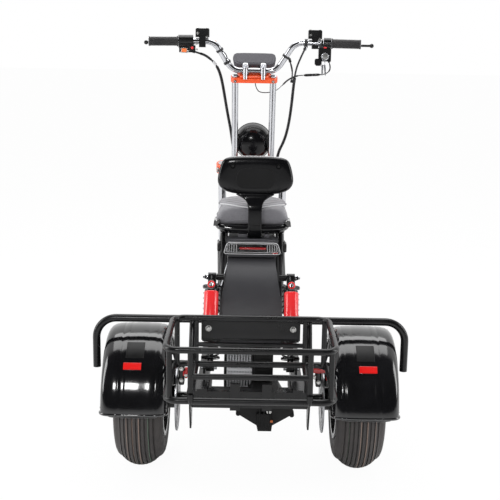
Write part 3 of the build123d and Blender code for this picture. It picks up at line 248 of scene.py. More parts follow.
@dataclass(frozen=True)
class Metal:
    """Plated, machined or cast metal."""

    colour: Colour
    roughness: float = 0.2
    spread: float = 0.05
    stain: Colour = (0.2, 0.2, 0.2)
    stain_share: float = 0.2
    grain: float = 600.0
    stretch: Triple = (1.0, 1.0, 1.0)
    depth: float = 0.00002

    def make(self, name: str) -> bpy.types.Material:
        """Build the material."""
        g = Graph(name)
        cloud = g.noise(14, 5, 0.6)
        lines = g.noise(self.grain, 3, 0.6, coords=g.mapped(self.stretch))
        low, high = max(self.roughness - self.spread, 0.02), self.roughness + self.spread
        g.set(Base_Color=g.mix(g.ramp(cloud, (0.5, 0.0), (0.85, self.stain_share)), self.colour, self.stain),
              Metallic=1.0, Roughness=g.ramp(cloud, (0.3, low), (0.75, high)),
              Normal=g.bump(lines, self.depth))
        return g.material


@dataclass(frozen=True)
class Rubber:
    """Moulded rubber with a fine skin and dust, and coloured threads round a tyre's middle."""

    colour: Colour
    dust: Colour
    roughness: float = 0.62
    grain: float = 700.0
    depth: float = 0.0001
    dust_share: float = 0.5
    centre: float | None = None
    threads: tuple[tuple[float, float, Colour], ...] = ()

    def make(self, name: str) -> bpy.types.Material:
        """Build the material."""
        g = Graph(name)
        cloud = g.noise(18, 6, 0.65)
        skin = g.noise(self.grain, 4, 0.6)
        dusty = g.ramp(cloud, (0.35, 0.0), (0.8, self.dust_share))
        colour = g.mix(dusty, self.colour, self.dust)
        if self.centre is not None:
            across = g.maths("SUBTRACT", g.axis("X"), self.centre)
            wander = g.maths("MULTIPLY", g.noise(6, 2, 0.5), 0.0015)
            across = g.maths("ADD", across, wander)
            for place, width, shade in self.threads:
                gap = g.maths("ABSOLUTE", g.maths("SUBTRACT", across, place * MM))
                line = g.ramp(g.maths("DIVIDE", gap, width * MM), (0.35, 0.85), (0.6, 0.0))
                colour = g.mix(line, colour, shade)
        g.set(Base_Color=colour, Roughness=g.ramp(cloud, (0.3, self.roughness - 0.1),
                                                  (0.8, self.roughness + 0.12)),
              Specular_IOR_Level=0.45, Normal=g.bump(skin, self.depth))
        return g.material


@dataclass(frozen=True)
class Hide:
    """Grained leatherette."""

    colour: Colour
    deep: Colour
    grain: float = 420.0
    depth: float = 0.00025
    roughness: float = 0.48

    def make(self, name: str) -> bpy.types.Material:
        """Build the material."""
        g = Graph(name)
        creases = g.cells(self.grain, g.mapped((1, 1, 1)))
        pits = g.ramp(creases, (0.0, 0.0), (0.12, 1.0))
        cloud = g.noise(12, 5, 0.6)
        colour = g.mix(pits, self.deep, self.colour)
        colour = g.mix(g.ramp(cloud, (0.4, 0.0), (0.8, 0.25)), colour, self.deep)
        normal = g.bump(pits, self.depth, 0.7)
        normal = g.bump(g.noise(60, 3, 0.5), 0.0006, 0.5, normal)
        g.set(Base_Color=colour, Roughness=g.ramp(cloud, (0.3, self.roughness - 0.06),
                                                  (0.8, self.roughness + 0.1)),
              Sheen_Weight=0.15, Normal=normal)
        return g.material


@dataclass(frozen=True)
class Lens:
    """Clear or coloured plastic with moulded ribs inside."""

    colour: Colour
    passing: float = 0.9
    roughness: float = 0.06
    ribs: float = 0.0
    glow: float = 0.0
    solid: float = 1.0

    def make(self, name: str) -> bpy.types.Material:
        """Build the material."""
        g = Graph(name)
        cloud = g.noise(25, 3, 0.5)
        lattice = g.maths("MULTIPLY", g.waves(max(self.ribs, 1.0), "X"), g.waves(max(self.ribs, 1.0), "Z"))
        shaded = g.mix(g.ramp(lattice, (0.2, 0.0), (0.9, 0.35)), self.colour,
                       tuple(c * 0.55 for c in self.colour))
        g.set(Base_Color=shaded, Roughness=g.ramp(cloud, (0.3, self.roughness), (0.8, self.roughness * 2)),
              Transmission_Weight=self.passing, IOR=1.49, Alpha=self.solid, Coat_Weight=0.6,
              Coat_Roughness=0.03,
              Normal=g.bump(lattice, 0.0008 if self.ribs else 0.00001, 0.6))
        # Emission: on the tail light's strip it is the lamp's own glow; on the reflectors, which are no lamp, it
        # is painted light, a painted bright reflection.
        if self.glow:
            g.set(Emission_Color=self.colour, Emission_Strength=self.glow)
        return g.material


BROWN_THREAD = tint(124, 106, 96)
GREEN_THREAD = tint(92, 116, 98)
FINISHES: dict[str, Any] = {
    "gloss_black": Coat(tint(13, 13, 15), 0.09, 0.03, clear=1.0, grain=1500, depth=0.00001,
                        dust=tint(70, 70, 74), dust_share=0.06, ripple=0.00012),
    "satin_black": Coat(tint(56, 56, 59), 0.42, 0.08, grain=2600, depth=0.00008, dust=tint(100, 100, 104),
                        shine=0.3),
    "frame_black": Coat(tint(16, 16, 17), 0.3, 0.07, clear=0.06, grain=2200, depth=0.00005,
                        dust=tint(66, 66, 70), shine=0.3),
    "cast_black": Coat(tint(15, 15, 16), 0.5, 0.1, grain=1700, depth=0.00025, dust=tint(74, 72, 70),
                       dust_share=0.22, shine=0.25),
    "cast_alloy": Metal(tint(176, 177, 180), 0.36, 0.1, tint(90, 88, 86), 0.4, 1200, depth=0.0001),
    "deck_rubber": Rubber(tint(34, 34, 36), tint(88, 86, 84), 0.6, 900, 0.00015, 0.35),
    "seat_leather": Hide(tint(124, 123, 128), tint(80, 80, 84), 460),
    "orange_paint": Coat(tint(244, 94, 48), 0.32, 0.06, clear=0.35, grain=1800, depth=0.00003,
                         dust=tint(214, 80, 44), dust_share=0.3),
    "red_anodised": Coat(tint(226, 38, 42), 0.26, 0.05, clear=0.5, grain=1500, depth=0.00002,
                         dust=tint(176, 22, 26), dust_share=0.25),
    "chrome": Metal(tint(196, 197, 201), 0.13, 0.03, tint(130, 130, 134), 0.25, 700, depth=0.000003),
    "lever_black": Coat(tint(14, 14, 15), 0.26, 0.06, clear=0.15, grain=2000, depth=0.00003,
                        dust=tint(60, 60, 63),
                        shine=0.35),
    "tyre_rubber": Rubber(tint(42, 39, 39), tint(84, 78, 74), 0.62, 900, 0.0002, 0.55),
    "rim_black": Coat(tint(16, 16, 17), 0.28, 0.08, clear=0.4, dust=tint(80, 78, 76)),
    "disc_steel": Metal(tint(150, 151, 154), 0.3, 0.08, tint(90, 88, 86), 0.35, 900, (1, 1, 8)),
    "clear_lens": Lens((0.92, 0.94, 0.95), 0.92, 0.04, ribs=34),
    "red_lens": Lens(tint(206, 22, 24), 0.25, 0.08, ribs=40, glow=0.12),
    # The reflector's emission is painted light: a painted bright reflection, since a reflector is no lamp.
    "red_reflector": Lens(tint(214, 26, 24), 0.1, 0.1, ribs=60, glow=0.1),
    "cable_black": Rubber(tint(26, 26, 28), tint(70, 70, 73), 0.48, 1800, 0.00005, 0.3),
    "bolt_zinc": Metal(tint(192, 192, 190), 0.24, 0.08, tint(128, 124, 112), 0.4, 1500),
    "copper": Metal(tint(190, 112, 72), 0.3, 0.06, tint(110, 70, 50), 0.4),
    "shell_black": Coat(tint(11, 11, 13), 0.2, 0.03, clear=0.15, grain=1500, depth=0.000008,
                        dust=tint(40, 40, 44),
                        dust_share=0.12, shine=0.2),
    # Dark strips between the saddle's ribs: painted shade in the valleys.
    "rib_valley_painted_shade": Hide(tint(30, 30, 32), tint(20, 20, 22), 420, 0.0002, 0.5),
    "fender_black": Coat(tint(11, 11, 13), 0.13, 0.02, clear=0.35, grain=1500, depth=0.000006,
                         dust=tint(50, 50, 54),
                         dust_share=0.15),
    "patch_black": Coat(tint(11, 11, 12), 0.34, 0.05, grain=1600, depth=0.0001, dust=tint(40, 40, 44),
                        dust_share=0.15, shine=0.25),
    # Near-black matt: painted shade in the backrest's screw dimples.
    "pit_painted_shade": Coat(tint(5, 5, 6), 0.6, 0.04, grain=1500, depth=0.00001, shine=0.1),
    "grey_plastic": Coat(tint(84, 83, 88), 0.46, 0.08, grain=2600, depth=0.00008, dust=tint(110, 110, 114)),
    "dash_grey": Coat(tint(82, 81, 86), 0.55, 0.06, grain=2600, depth=0.00008, dust=tint(96, 96, 100),
                      shine=0.15),
    "silver_case": Coat(tint(204, 205, 208), 0.4, 0.08, dust=tint(150, 150, 152), dust_share=0.3),
    "clear_plain": Lens((0.03, 0.03, 0.032), 0.0, 0.02, solid=0.15),
    "switch_orange": Coat(tint(246, 120, 48), 0.35, 0.05, clear=0.3, dust=tint(200, 90, 40), dust_share=0.3),
    "switch_red": Coat(tint(214, 36, 40), 0.3, 0.05, clear=0.4, dust=tint(160, 20, 24), dust_share=0.3),
    "seat_top_grey": Hide(tint(134, 133, 137), tint(84, 83, 87), 420, 0.0002, 0.5),
    "sleeve": Coat(tint(24, 24, 26), 0.34, 0.08, grain=1600, depth=0.00005, dust=tint(86, 86, 90),
                   dust_share=0.2),
    # Pale grey: the own colour of the piping, sleeves and grip rings, and painted highlights on the tail light's
    # rims and ribs.
    "pale_grey_and_painted_highlight": Coat(tint(196, 196, 198), 0.4, 0.06, dust=tint(150, 150, 152)),
    "floor": Coat((0.86, 0.86, 0.86), 0.9, 0.04, grain=300, depth=0.00002, dust=(0.84, 0.84, 0.84)),
}
_made: dict[str, bpy.types.Material] = {}


def finish(name: str) -> bpy.types.Material:
    """A finish's material, made once."""
    if name not in _made:
        _made[name] = FINISHES[name].make(name if name not in bpy.data.materials else f"{name}_look")
    return _made[name]


# ---- hand tools -------------------------------------------------------------------------------
def pick(*pieces: bpy.types.Object) -> None:
    """Select only these pieces, the last of them active."""
    if bpy.context.mode != "OBJECT":
        bpy.ops.object.mode_set(mode="OBJECT")
    bpy.ops.object.select_all(action="DESELECT")
    for piece in pieces:
        piece.select_set(True)
        bpy.context.view_layer.objects.active = piece


@contextmanager
def editing(piece: bpy.types.Object, mode: str = "VERT") -> Iterator[None]:
    """Edit one piece's mesh, with all of it selected at the start."""
    pick(piece)
    bpy.ops.object.mode_set(mode="EDIT")
    bpy.ops.mesh.select_mode(type=mode)
    bpy.ops.mesh.select_all(action="SELECT")
    yield
    bpy.ops.object.mode_set(mode="OBJECT")


def settled(piece: bpy.types.Object, angle: float = 35) -> bpy.types.Object:
    """Apply a piece's place, turn its faces outward and smooth its shallow edges."""
    pick(piece)
    bpy.ops.object.transform_apply(location=True, rotation=True, scale=True)
    with editing(piece):
        bpy.ops.mesh.remove_doubles(threshold=0.000005)
        bpy.ops.mesh.normals_make_consistent(inside=False)
    bpy.ops.object.shade_smooth_by_angle(angle=math.radians(angle))
    return piece


def changed(piece: bpy.types.Object, kind: str, **settings: Any) -> bpy.types.Object:
    """Add one modifier and apply it."""
    pick(piece)
    modifier = piece.modifiers.new(kind.lower(), kind)
    for key, value in settings.items():
        setattr(modifier, key, value)
    bpy.ops.object.modifier_apply(modifier=modifier.name)
    return piece


def eased(piece: bpy.types.Object, width: float, steps: int = 2, angle: float = 35) -> bpy.types.Object:
    """Round a piece's sharp edges, to a width in millimetres."""
    settled(piece, angle)
    changed(piece, "BEVEL", width=width * MM, segments=steps, limit_method="ANGLE",
            angle_limit=math.radians(angle), harden_normals=False)
    return settled(piece, angle)


def block(name: str, low: Vector, high: Vector, ease: float = 1.0, steps: int = 2) -> bpy.types.Object:
    """A box between two corners with rounded edges."""
    pick()
    bpy.ops.mesh.primitive_cube_add(size=1, location=(low + high) / 2)
    piece = bpy.context.object
    piece.name = name
    piece.scale = [abs(b - a) for a, b in zip(low, high)]
    return eased(piece, ease, steps)


def drawn(name: str, points: Sequence[Vector], closed: bool = False) -> bpy.types.Object:
    """A line drawn point by point, closed into a face where asked."""
    pick()
    bpy.ops.mesh.primitive_plane_add(size=MM, location=points[0])
    piece = bpy.context.object
    piece.name = name
    with editing(piece):
        bpy.ops.mesh.merge(type="CENTER")
        for before, after in zip(points, [*points[1:], *([points[0]] if closed else [])]):
            bpy.ops.mesh.extrude_region_move(TRANSFORM_OT_translate={"value": after - before})
        bpy.ops.mesh.select_all(action="SELECT")
        bpy.ops.mesh.remove_doubles(threshold=0.00001)
        if closed:
            bpy.ops.mesh.edge_face_add()
    return piece


def plate(name: str, outline: Sequence[Vector], through: Vector, ease: float = 0.8,
          steps: int = 2) -> bpy.types.Object:
    """A closed outline pulled through a distance, with rounded edges."""
    piece = drawn(name, outline, closed=True)
    with editing(piece, "FACE"):
        bpy.ops.mesh.extrude_region_move(TRANSFORM_OT_translate={"value": through})
    return eased(piece, ease, steps) if ease else settled(piece)


def spun(name: str, line: Sequence[Vector], centre: Vector, axis: Vector, turn: float = 360, steps: int = 96,
         closed: bool = False, angle: float = 35) -> bpy.types.Object:
    """A line spun about an axis through a turn in degrees."""
    piece = drawn(name, [*line, line[0]] if closed else line)
    with editing(piece):
        bpy.ops.mesh.spin(steps=steps, angle=math.radians(turn), center=centre, axis=axis, dupli=False)
        bpy.ops.mesh.select_all(action="SELECT")
        bpy.ops.mesh.remove_doubles(threshold=0.00002)
    return settled(piece, angle)


def turned(name: str, profile: Sequence[Pair], start: Vector, along: Vector,
           steps: int = 40, angle: float = 35) -> bpy.types.Object:
    """A lathe piece from distances along a line and radii, in millimetres."""
    ahead = along.normalized()
    side = ahead.orthogonal().normalized()
    line = [start + ahead * distance * MM + side * radius * MM for distance, radius in profile]
    return spun(name, line, start, ahead, 360, steps, angle=angle)


def rod(name: str, start: Vector, end: Vector, radius: float, tip: float | None = None, ease: float = 0.6,
        steps: int = 32) -> bpy.types.Object:
    """A round bar or taper between two places, its end edges rounded."""
    length = (end - start).length / MM
    last = radius if tip is None else tip
    ease = min(ease, radius * 0.4, last * 0.4, length * 0.4)
    profile = [(0, 0), (0, radius - ease), (ease * 0.3, radius - ease * 0.3), (ease, radius),
               (length - ease, last), (length - ease * 0.3, last - ease * 0.3), (length, last - ease),
               (length, 0)]
    return turned(name, profile, start, end - start, steps)


def ring(name: str, centre: Vector, axis: Vector, radius: float, wire: float) -> bpy.types.Object:
    """A round ring of wire, radii in millimetres."""
    pick()
    bpy.ops.mesh.primitive_torus_add(location=centre, rotation=axis.to_track_quat("Z", "Y").to_euler(),
                                     major_radius=radius * MM, minor_radius=wire * MM,
                                     major_segments=48, minor_segments=14)
    bpy.context.object.name = name
    return settled(bpy.context.object, 60)


LINE_RADIUS = 0.004


def soft_line(name: str, points: Sequence[Vector], diameter: float, closed: bool = False) -> bpy.types.Object:
    """A smooth round line through a route's points, its diameter in millimetres."""
    curve = bpy.data.curves.new(name, "CURVE")
    curve.dimensions = "3D"
    curve.resolution_u = 10
    spline = curve.splines.new("NURBS")
    spline.points.add(len(points) - 1)
    for place, point in zip(spline.points, points):
        place.co = (*point, 1)
        place.radius = LINE_RADIUS
    spline.order_u = 3
    spline.use_endpoint_u = not closed
    spline.use_cyclic_u = closed
    curve.bevel_depth = diameter / 2 * MM / LINE_RADIUS
    curve.bevel_resolution = 4
    curve.use_fill_caps = True
    piece = bpy.data.objects.new(name, curve)
    bpy.context.scene.collection.objects.link(piece)
    return piece


def pipe(name: str, points: Sequence[Vector], diameter: float, closed: bool = False) -> bpy.types.Object:
    """A bent tube as a mesh."""
    piece = soft_line(name, points, diameter, closed)
    pick(piece)
    bpy.ops.object.convert(target="MESH")
    return settled(bpy.context.object, 60)


def again(piece: bpy.types.Object, name: str, shift: Vector = Vector(),
          turn: Matrix | None = None) -> bpy.types.Object:
    """A copy with its own mesh, turned and shifted."""
    twin = piece.copy()
    twin.data = piece.data.copy()
    twin.name = name
    bpy.context.scene.collection.objects.link(twin)
    twin.data.transform(Matrix.Translation(shift) @ (turn or Matrix.Identity(4)))
    return twin


def mirrored(piece: bpy.types.Object, name: str) -> bpy.types.Object:
    """The same piece on the scooter's other side, with its own mesh."""
    twin = again(piece, name, turn=Matrix.Scale(-1, 4, ACROSS))
    return settled(twin)


def joined(name: str, *pieces: bpy.types.Object) -> bpy.types.Object:
    """Several pieces made into one."""
    pick(*pieces)
    bpy.ops.object.join()
    bpy.context.object.name = name
    return bpy.context.object


def around(centre: Vector, axis: Vector, degrees: float) -> Matrix:
    """A turn about a line."""
    return Matrix.Translation(centre) @ Matrix.Rotation(math.radians(degrees), 4,
                                                        axis) @ Matrix.Translation(-centre)


def fit(piece: bpy.types.Object, body: str, look: str,
        replaces: Sequence[str] = ()) -> bpy.types.Object:
    """Give a piece its finish and its body.

    Args:
        piece: the piece, in its place.
        body: the body that it moves with.
        look: the finish's name.
        replaces: the CAD nodes that it stands for.

    Returns:
        The same piece.
    """
    piece.data.materials.clear()
    piece.data.materials.append(finish(look))
    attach(piece, body)
    if replaces:
        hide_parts(*replaces)
    log.info("%s: %s on %s", piece.name, look, body)
    return piece


class Head(Enum):
    """The kinds of bolt head."""

    HEX = "hex"
    SOCKET = "socket"
    DOME = "dome"


_patterns: dict[tuple[Head, float], bpy.types.Object] = {}


def bolt(name: str, place: Vector, along: Vector, radius: float, kind: Head = Head.HEX,
         body: str = "chassis", look: str = "bolt_zinc") -> bpy.types.Object:
    """A bolt head on its washer, copied from one pattern of its kind and size.

    Args:
        name: the piece's name.
        place: where the washer sits.
        along: the way that the head points.
        radius: the head's radius in millimetres.
        kind: the head's kind.
        body: the body that it moves with.
        look: the finish's name.

    Returns:
        The bolt.
    """
    origin = Vector()
    if (kind, radius) not in _patterns:
        washer = turned("washer", [(0, 0), (0, radius * 1.3), (radius * 0.14, radius * 1.36),
                                   (radius * 0.24, radius * 1.3), (radius * 0.24, 0)], origin, UP, 28)
        if kind is Head.HEX:
            cap = turned("cap", [(radius * 0.2, 0), (radius * 0.2, radius), (radius * 0.8, radius),
                                 (radius * 0.95, radius * 0.84), (radius * 0.95, 0)], origin, UP, 6, 20)
        elif kind is Head.SOCKET:
            cap = turned("cap", [(radius * 0.2, 0), (radius * 0.2, radius * 0.92), (radius * 0.95, radius),
                                 (radius * 1.15, radius * 0.9), (radius * 1.15, radius * 0.55),
                                 (radius * 0.6, radius * 0.5), (radius * 0.6, 0)], origin, UP, 30)
        else:
            cap = turned("cap", [(radius * 0.2, 0), (radius * 0.2, radius), (radius * 0.5, radius * 0.93),
                                 (radius * 0.75, radius * 0.6), (radius * 0.82, 0)], origin, UP, 30)
        pattern = joined("bolt_pattern", cap, washer)
        pattern.hide_render = True
        _patterns[kind, radius] = pattern
    turn = along.to_track_quat("Z", "Y").to_matrix().to_4x4()
    piece = again(_patterns[kind, radius], name, place, turn)
    piece.hide_render = False
    return fit(piece, body, look)


def clear_patterns() -> None:
    """Take away the bolt patterns, once all are copied."""
    for pattern in _patterns.values():
        bpy.data.objects.remove(pattern)
    _patterns.clear()


# ---- studio -----------------------------------------------------------------------------------
@dataclass(frozen=True)
class Softbox:
    """One soft lamp, aimed at the scooter."""

    name: str
    place: Triple
    aim: Triple
    size: Pair
    power: float

    def hang(self) -> None:
        """Put the lamp in the scene."""
        lamp = bpy.data.lights.new(self.name, "AREA")
        lamp.shape = "RECTANGLE"
        lamp.size, lamp.size_y = self.size
        lamp.energy = self.power
        holder = bpy.data.objects.new(self.name, lamp)
        holder.location = self.place
        holder.rotation_euler = (Vector(self.aim) - Vector(self.place)).to_track_quat("-Z", "Y").to_euler()
        bpy.context.scene.collection.objects.link(holder)


def wired(tree: bpy.types.NodeTree, kind: str, inputs: dict[int | str, Any] | None = None,
          **settings: Any) -> bpy.types.Node:
    """Add a shader node of a kind, with its settings and its inputs linked or set."""
    node = tree.nodes.new(f"ShaderNode{kind}")
    for key, value in settings.items():
        setattr(node, key, value)
    for key, value in (inputs or {}).items():
        if isinstance(value, bpy.types.NodeSocket):
            tree.links.new(value, node.inputs[key])
        else:
            node.inputs[key].default_value = value
    return node


@dataclass
class Studio:
    """The camera, the lamps, the pale floor and the white surroundings."""

    eye: Triple = (-0.00798, -3.348, 1.25553)
    yaw: float = 0.000741
    pitch: float = 0.215079
    roll: float = 0.01619
    lens: float = 71.676
    floor_size: float = 60.0
    shade_side: float = 0.035
    shade_lift: float = 0.5
    shade_span: Pair = (0.5, 0.68)
    ambient: float = 0.72
    floor_glow: float = 0.96
    softboxes: tuple[Softbox, ...] = (
        Softbox("key_box", (-0.95, -4.3, 2.75), (0, -0.5, 0.5), (0.8, 0.7), 60),
        Softbox("top_box", (0, 0.9, 3.6), (0, 0, 0.4), (3.6, 2.6), 85),
        Softbox("left_box", (-3.2, -0.6, 1.5), (0, -0.3, 0.6), (0.9, 2.2), 42),
        Softbox("right_box", (3.2, -0.6, 1.5), (0, -0.3, 0.6), (0.9, 2.2), 36),
    )

    def build(self) -> None:
        """Set the whole studio up."""
        scene = bpy.context.scene
        scene.view_settings.view_transform = "Standard"
        self.aim_camera(scene)
        self.light_world(scene)
        self.lay_floor()
        for softbox in self.softboxes:
            softbox.hang()
        log.info("studio ready")

    def aim_camera(self, scene: bpy.types.Scene) -> None:
        """Place the camera by its heading, pitch and roll."""
        ahead = Vector((math.sin(self.yaw) * math.cos(self.pitch), math.cos(self.yaw) * math.cos(self.pitch),
                        -math.sin(self.pitch)))
        level = Vector((math.cos(self.yaw), -math.sin(self.yaw), 0))
        rise = level.cross(ahead)
        right = level * math.cos(self.roll) + rise * math.sin(self.roll)
        top = rise * math.cos(self.roll) - level * math.sin(self.roll)
        camera = bpy.data.cameras.new("camera")
        camera.lens = self.lens
        camera.sensor_width = 36
        camera.clip_end = 100
        holder = bpy.data.objects.new("camera", camera)
        turn = Matrix((right, top, -ahead)).transposed().to_4x4()
        holder.matrix_world = Matrix.Translation(Vector(self.eye)) @ turn
        scene.collection.objects.link(holder)
        scene.camera = holder

    def light_world(self, scene: bpy.types.Scene) -> None:
        """Soft even light all round, and a white backdrop beyond the scooter that gloss shows too."""
        world = bpy.data.worlds.new("studio")
        world.use_nodes = True
        tree = world.node_tree
        tree.nodes.clear()
        light = wired(tree, "LightPath").outputs
        way = wired(tree, "TexCoord").outputs["Generated"]
        along = wired(tree, "SeparateXYZ", {0: way}).outputs["Y"]
        lifted = wired(tree, "Math", {0: along, 1: self.shade_lift}, operation="ADD").outputs[0]
        shade = wired(tree, "ValToRGB", {"Fac": lifted})
        first, last = shade.color_ramp.elements
        first.position, last.position = self.shade_span
        first.color = (self.shade_side,) * 3 + (1,)
        last.color = (1, 1, 1, 1)
        either = wired(tree, "Math", {0: light["Is Glossy Ray"], 1: light["Is Transmission Ray"]},
                       operation="MAXIMUM").outputs[0]
        seen = wired(tree, "Math", {0: light["Is Camera Ray"], 1: either}, operation="MAXIMUM").outputs[0]
        colour = wired(tree, "Mix", {0: light["Is Camera Ray"], 6: shade.outputs["Color"], 7: (1, 1, 1, 1)},
                       data_type="RGBA").outputs[2]
        soft = wired(tree, "Background", {"Color": (1, 1, 1, 1), "Strength": self.ambient}).outputs[0]
        backdrop = wired(tree, "Background", {"Color": colour, "Strength": 1.0}).outputs[0]
        blend = wired(tree, "MixShader", {0: seen, 1: soft, 2: backdrop}).outputs[0]
        wired(tree, "OutputWorld", {"Surface": blend})
        scene.world = world

    def lay_floor(self) -> None:
        """A wide pale floor that keeps the scooter's shadow and passes into the white backdrop."""
        pick()
        bpy.ops.mesh.primitive_grid_add(x_subdivisions=8, y_subdivisions=8, size=self.floor_size)
        floor = bpy.context.object
        floor.name = "floor"
        floor.data.materials.append(finish("floor"))
        tree = finish("floor").node_tree
        shader = next(node for node in tree.nodes if node.type == "BSDF_PRINCIPLED")
        output = next(node for node in tree.nodes if node.type == "OUTPUT_MATERIAL")
        glow = wired(tree, "Emission", {"Strength": 1.0}).outputs[0]
        seen = wired(tree, "LightPath").outputs["Is Camera Ray"]
        share = wired(tree, "Math", {0: seen, 1: self.floor_glow}, operation="MULTIPLY").outputs[0]
        both = wired(tree, "MixShader", {0: share, 1: shader.outputs[0], 2: glow}).outputs[0]
        tree.links.new(both, output.inputs["Surface"])


# ---- cables -----------------------------------------------------------------------------------
@dataclass(frozen=True)
class Cord:
    """One cable with its route, in millimetres from the front axle."""

    name: str
    diameter: float
    length: float
    stiffness: str
    route: Triples
    fork_end: Triples = ()

    def points(self) -> list[Vector]:
        """The route in the row frame."""
        return [front(*place) for place in self.route] + [fork(*place) for place in self.fork_end]


class Trace:
    """Evenly read points and directions along a cable's own smooth line."""

    def __init__(self, piece: bpy.types.Object) -> None:
        """Read the line from the cable's spline."""
        curve = piece.data
        depth, curve.bevel_depth = curve.bevel_depth, 0
        mesh = bpy.data.meshes.new_from_object(piece)
        curve.bevel_depth = depth
        self.points = [Vector(v.co) for v in mesh.vertices]
        bpy.data.meshes.remove(mesh)
        gaps = [(b - a).length for a, b in zip(self.points, self.points[1:])]
        self.reach = np.concatenate([[0], np.cumsum(gaps)])

    def at(self, share: float) -> Vector:
        """The place at a share of the length."""
        distance = share * self.reach[-1]
        return Vector([float(np.interp(distance, self.reach, [p[i] for p in self.points])) for i in range(3)])

    def along(self, share: float) -> Vector:
        """The direction at a share of the length."""
        return (self.at(min(share + 0.01, 1)) - self.at(max(share - 0.01, 0))).normalized()


@dataclass
class Cables:
    """The cables on the handlebar and fork, with their wraps, sleeves and the key lead's connector."""

    cords: tuple[Cord, ...] = (
        Cord("right_harness", 7, 0.4861, "medium",
             ((183, -405, 996), (169, -401, 966), (153, -393, 922), (147, -374, 862), (143, -344, 792),
              (135, -314, 715), (121, -288, 650)), ((94, -14, 650), (94, -14, 604))),
        Cord("left_harness", 7, 0.5139, "medium",
             ((-219, -409, 983), (-203, -406, 978), (-185, -402, 973), (-165, -395, 960), (-143, -385, 939),
              (-127, -368, 905), (-117, -342, 858), (-108, -310, 800), (-98, -282, 740), (-87, -253, 682),
              (-80, -227, 625)), ((-72, 19.8, 634), (-72, 19.8, 604))),
        Cord("right_lead", 5, 0.0681, "medium",
             ((133, -387, 950), (139, -387, 930), (142, -385, 908), (140, -378, 884))),
        Cord("left_loop", 3.5, 0.0545, "medium",
             ((-122, -411, 989), (-111, -414, 983), (-103, -412, 972), (-101, -408, 959), (-105, -402, 946))),
        Cord("key_lead", 3.5, 0.0691, "medium",
             ((275, -412, 952), (280, -412, 938), (277, -411, 920), (258.9, -409.8, 908.4),
              (243, -408, 907.5))),
        Cord("display_lead", 3.5, 0.2508, "medium",
             ((181, -401, 904), (163.1, -399, 903), (143, -393, 896), (122, -380, 883), (104, -361, 862),
              (85, -343, 844), (67, -336, 837), (50, -332, 834.5), (31, -331, 834), (14, -333.5, 840)),
             ((4, 20, 930), (4, 20, 946))),
    )
    wrap_pitch: float = 4.6
    wrap_wire: float = 1.5
    wrap_sides: int = 9
    connector_profile: Pairs = (
        (0, 0), (0, 3.2), (5, 3.4), (6, 4.8), (28, 4.9), (29, 4.2), (31, 4.2), (32, 5.0), (55, 5.0),
                                (56, 3.6),
        (61, 3.2), (61, 0))
    wraps: tuple[tuple[str, float, float], ...] = (("right_harness", 0.24, 0.97), ("left_harness", 0.2, 0.97))
    sleeves: tuple[tuple[str, float, float, float, str], ...] = (
        ("left_harness", 0.04, 0.13, 4.6, "sleeve"), ("left_harness", 0.15, 0.185, 5.4, "pale_grey_and_painted_highlight"),
        ("display_lead", 0.08, 0.36, 3.1, "sleeve"), ("display_lead", 0.4, 0.58, 2.1, "pale_grey_and_painted_highlight"),
        ("key_lead", 0.08, 0.5, 2.5, "sleeve"), ("right_lead", 0.1, 0.5, 3.3, "sleeve"))
    traces: dict[str, Trace] = field(default_factory=dict)
    extras: dict[str, list[bpy.types.Object]] = field(default_factory=dict)

    def build(self) -> None:
        for cord in self.cords:
            line = soft_line(f"{cord.name}_line", cord.points(), cord.diameter)
            fit(line, "steering", "cable_black", replaces=[cord.name])
            self.traces[cord.name] = Trace(line)
            self.extras[cord.name] = []
        for name, start, end in self.wraps:
            self.extras[name].append(self.wrap(name, start, end))
        for index, (name, start, end, radius, look) in enumerate(self.sleeves):
            self.extras[name].append(self.sleeve(f"{name}_sleeve_{index}", name, start, end, radius, look))
        self.extras["key_lead"].append(self.connector())
        for cord in self.cords:
            tuple(cord.points()[0])

    def wrap(self, name: str, start: float, end: float) -> bpy.types.Object:
        """The spiral wrap round a harness."""
        trace = self.traces[name]
        diameter = next(cord.diameter for cord in self.cords if cord.name == name)
        radius = (diameter / 2 + self.wrap_wire * 0.75) * MM
        turns = (end - start) * float(trace.reach[-1]) / (self.wrap_pitch * MM)
        count = int(turns * self.wrap_sides)
        side = trace.along(start).orthogonal().normalized()
        coil = []
        for index in range(count + 1):
            share = start + (end - start) * index / count
            along = trace.along(share)
            side = (side - along * side.dot(along)).normalized()
            angle = 2 * math.pi * turns * index / count
            out = side * math.cos(angle) + along.cross(side) * math.sin(angle)
            coil.append(trace.at(share) + out * radius)
        piece = pipe(f"{name}_wrap", coil, self.wrap_wire * 2)
        return fit(piece, "steering", "sleeve")

    def sleeve(self, label: str, name: str, start: float, end: float, radius: float,
               look: str) -> bpy.types.Object:
        """A smooth sleeve along a share of a cable."""
        trace = self.traces[name]
        shares = [start + (end - start) * index / 8 for index in range(9)]
        piece = pipe(label, [trace.at(share) for share in shares], radius * 2)
        return fit(piece, "steering", look)

    def connector(self) -> bpy.types.Object:
        """The two-part connector between the key's lead and the display's."""
        low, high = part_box("key_connector")
        start = Vector((high.x, middle("key_connector").y, high.z - 5 * MM))
        end = Vector((low.x, middle("key_connector").y, low.z + 5 * MM))
        piece = turned("key_connector_pair", self.connector_profile, start, end - start, 20)
        return fit(piece, "steering", "lever_black", ["key_connector"])


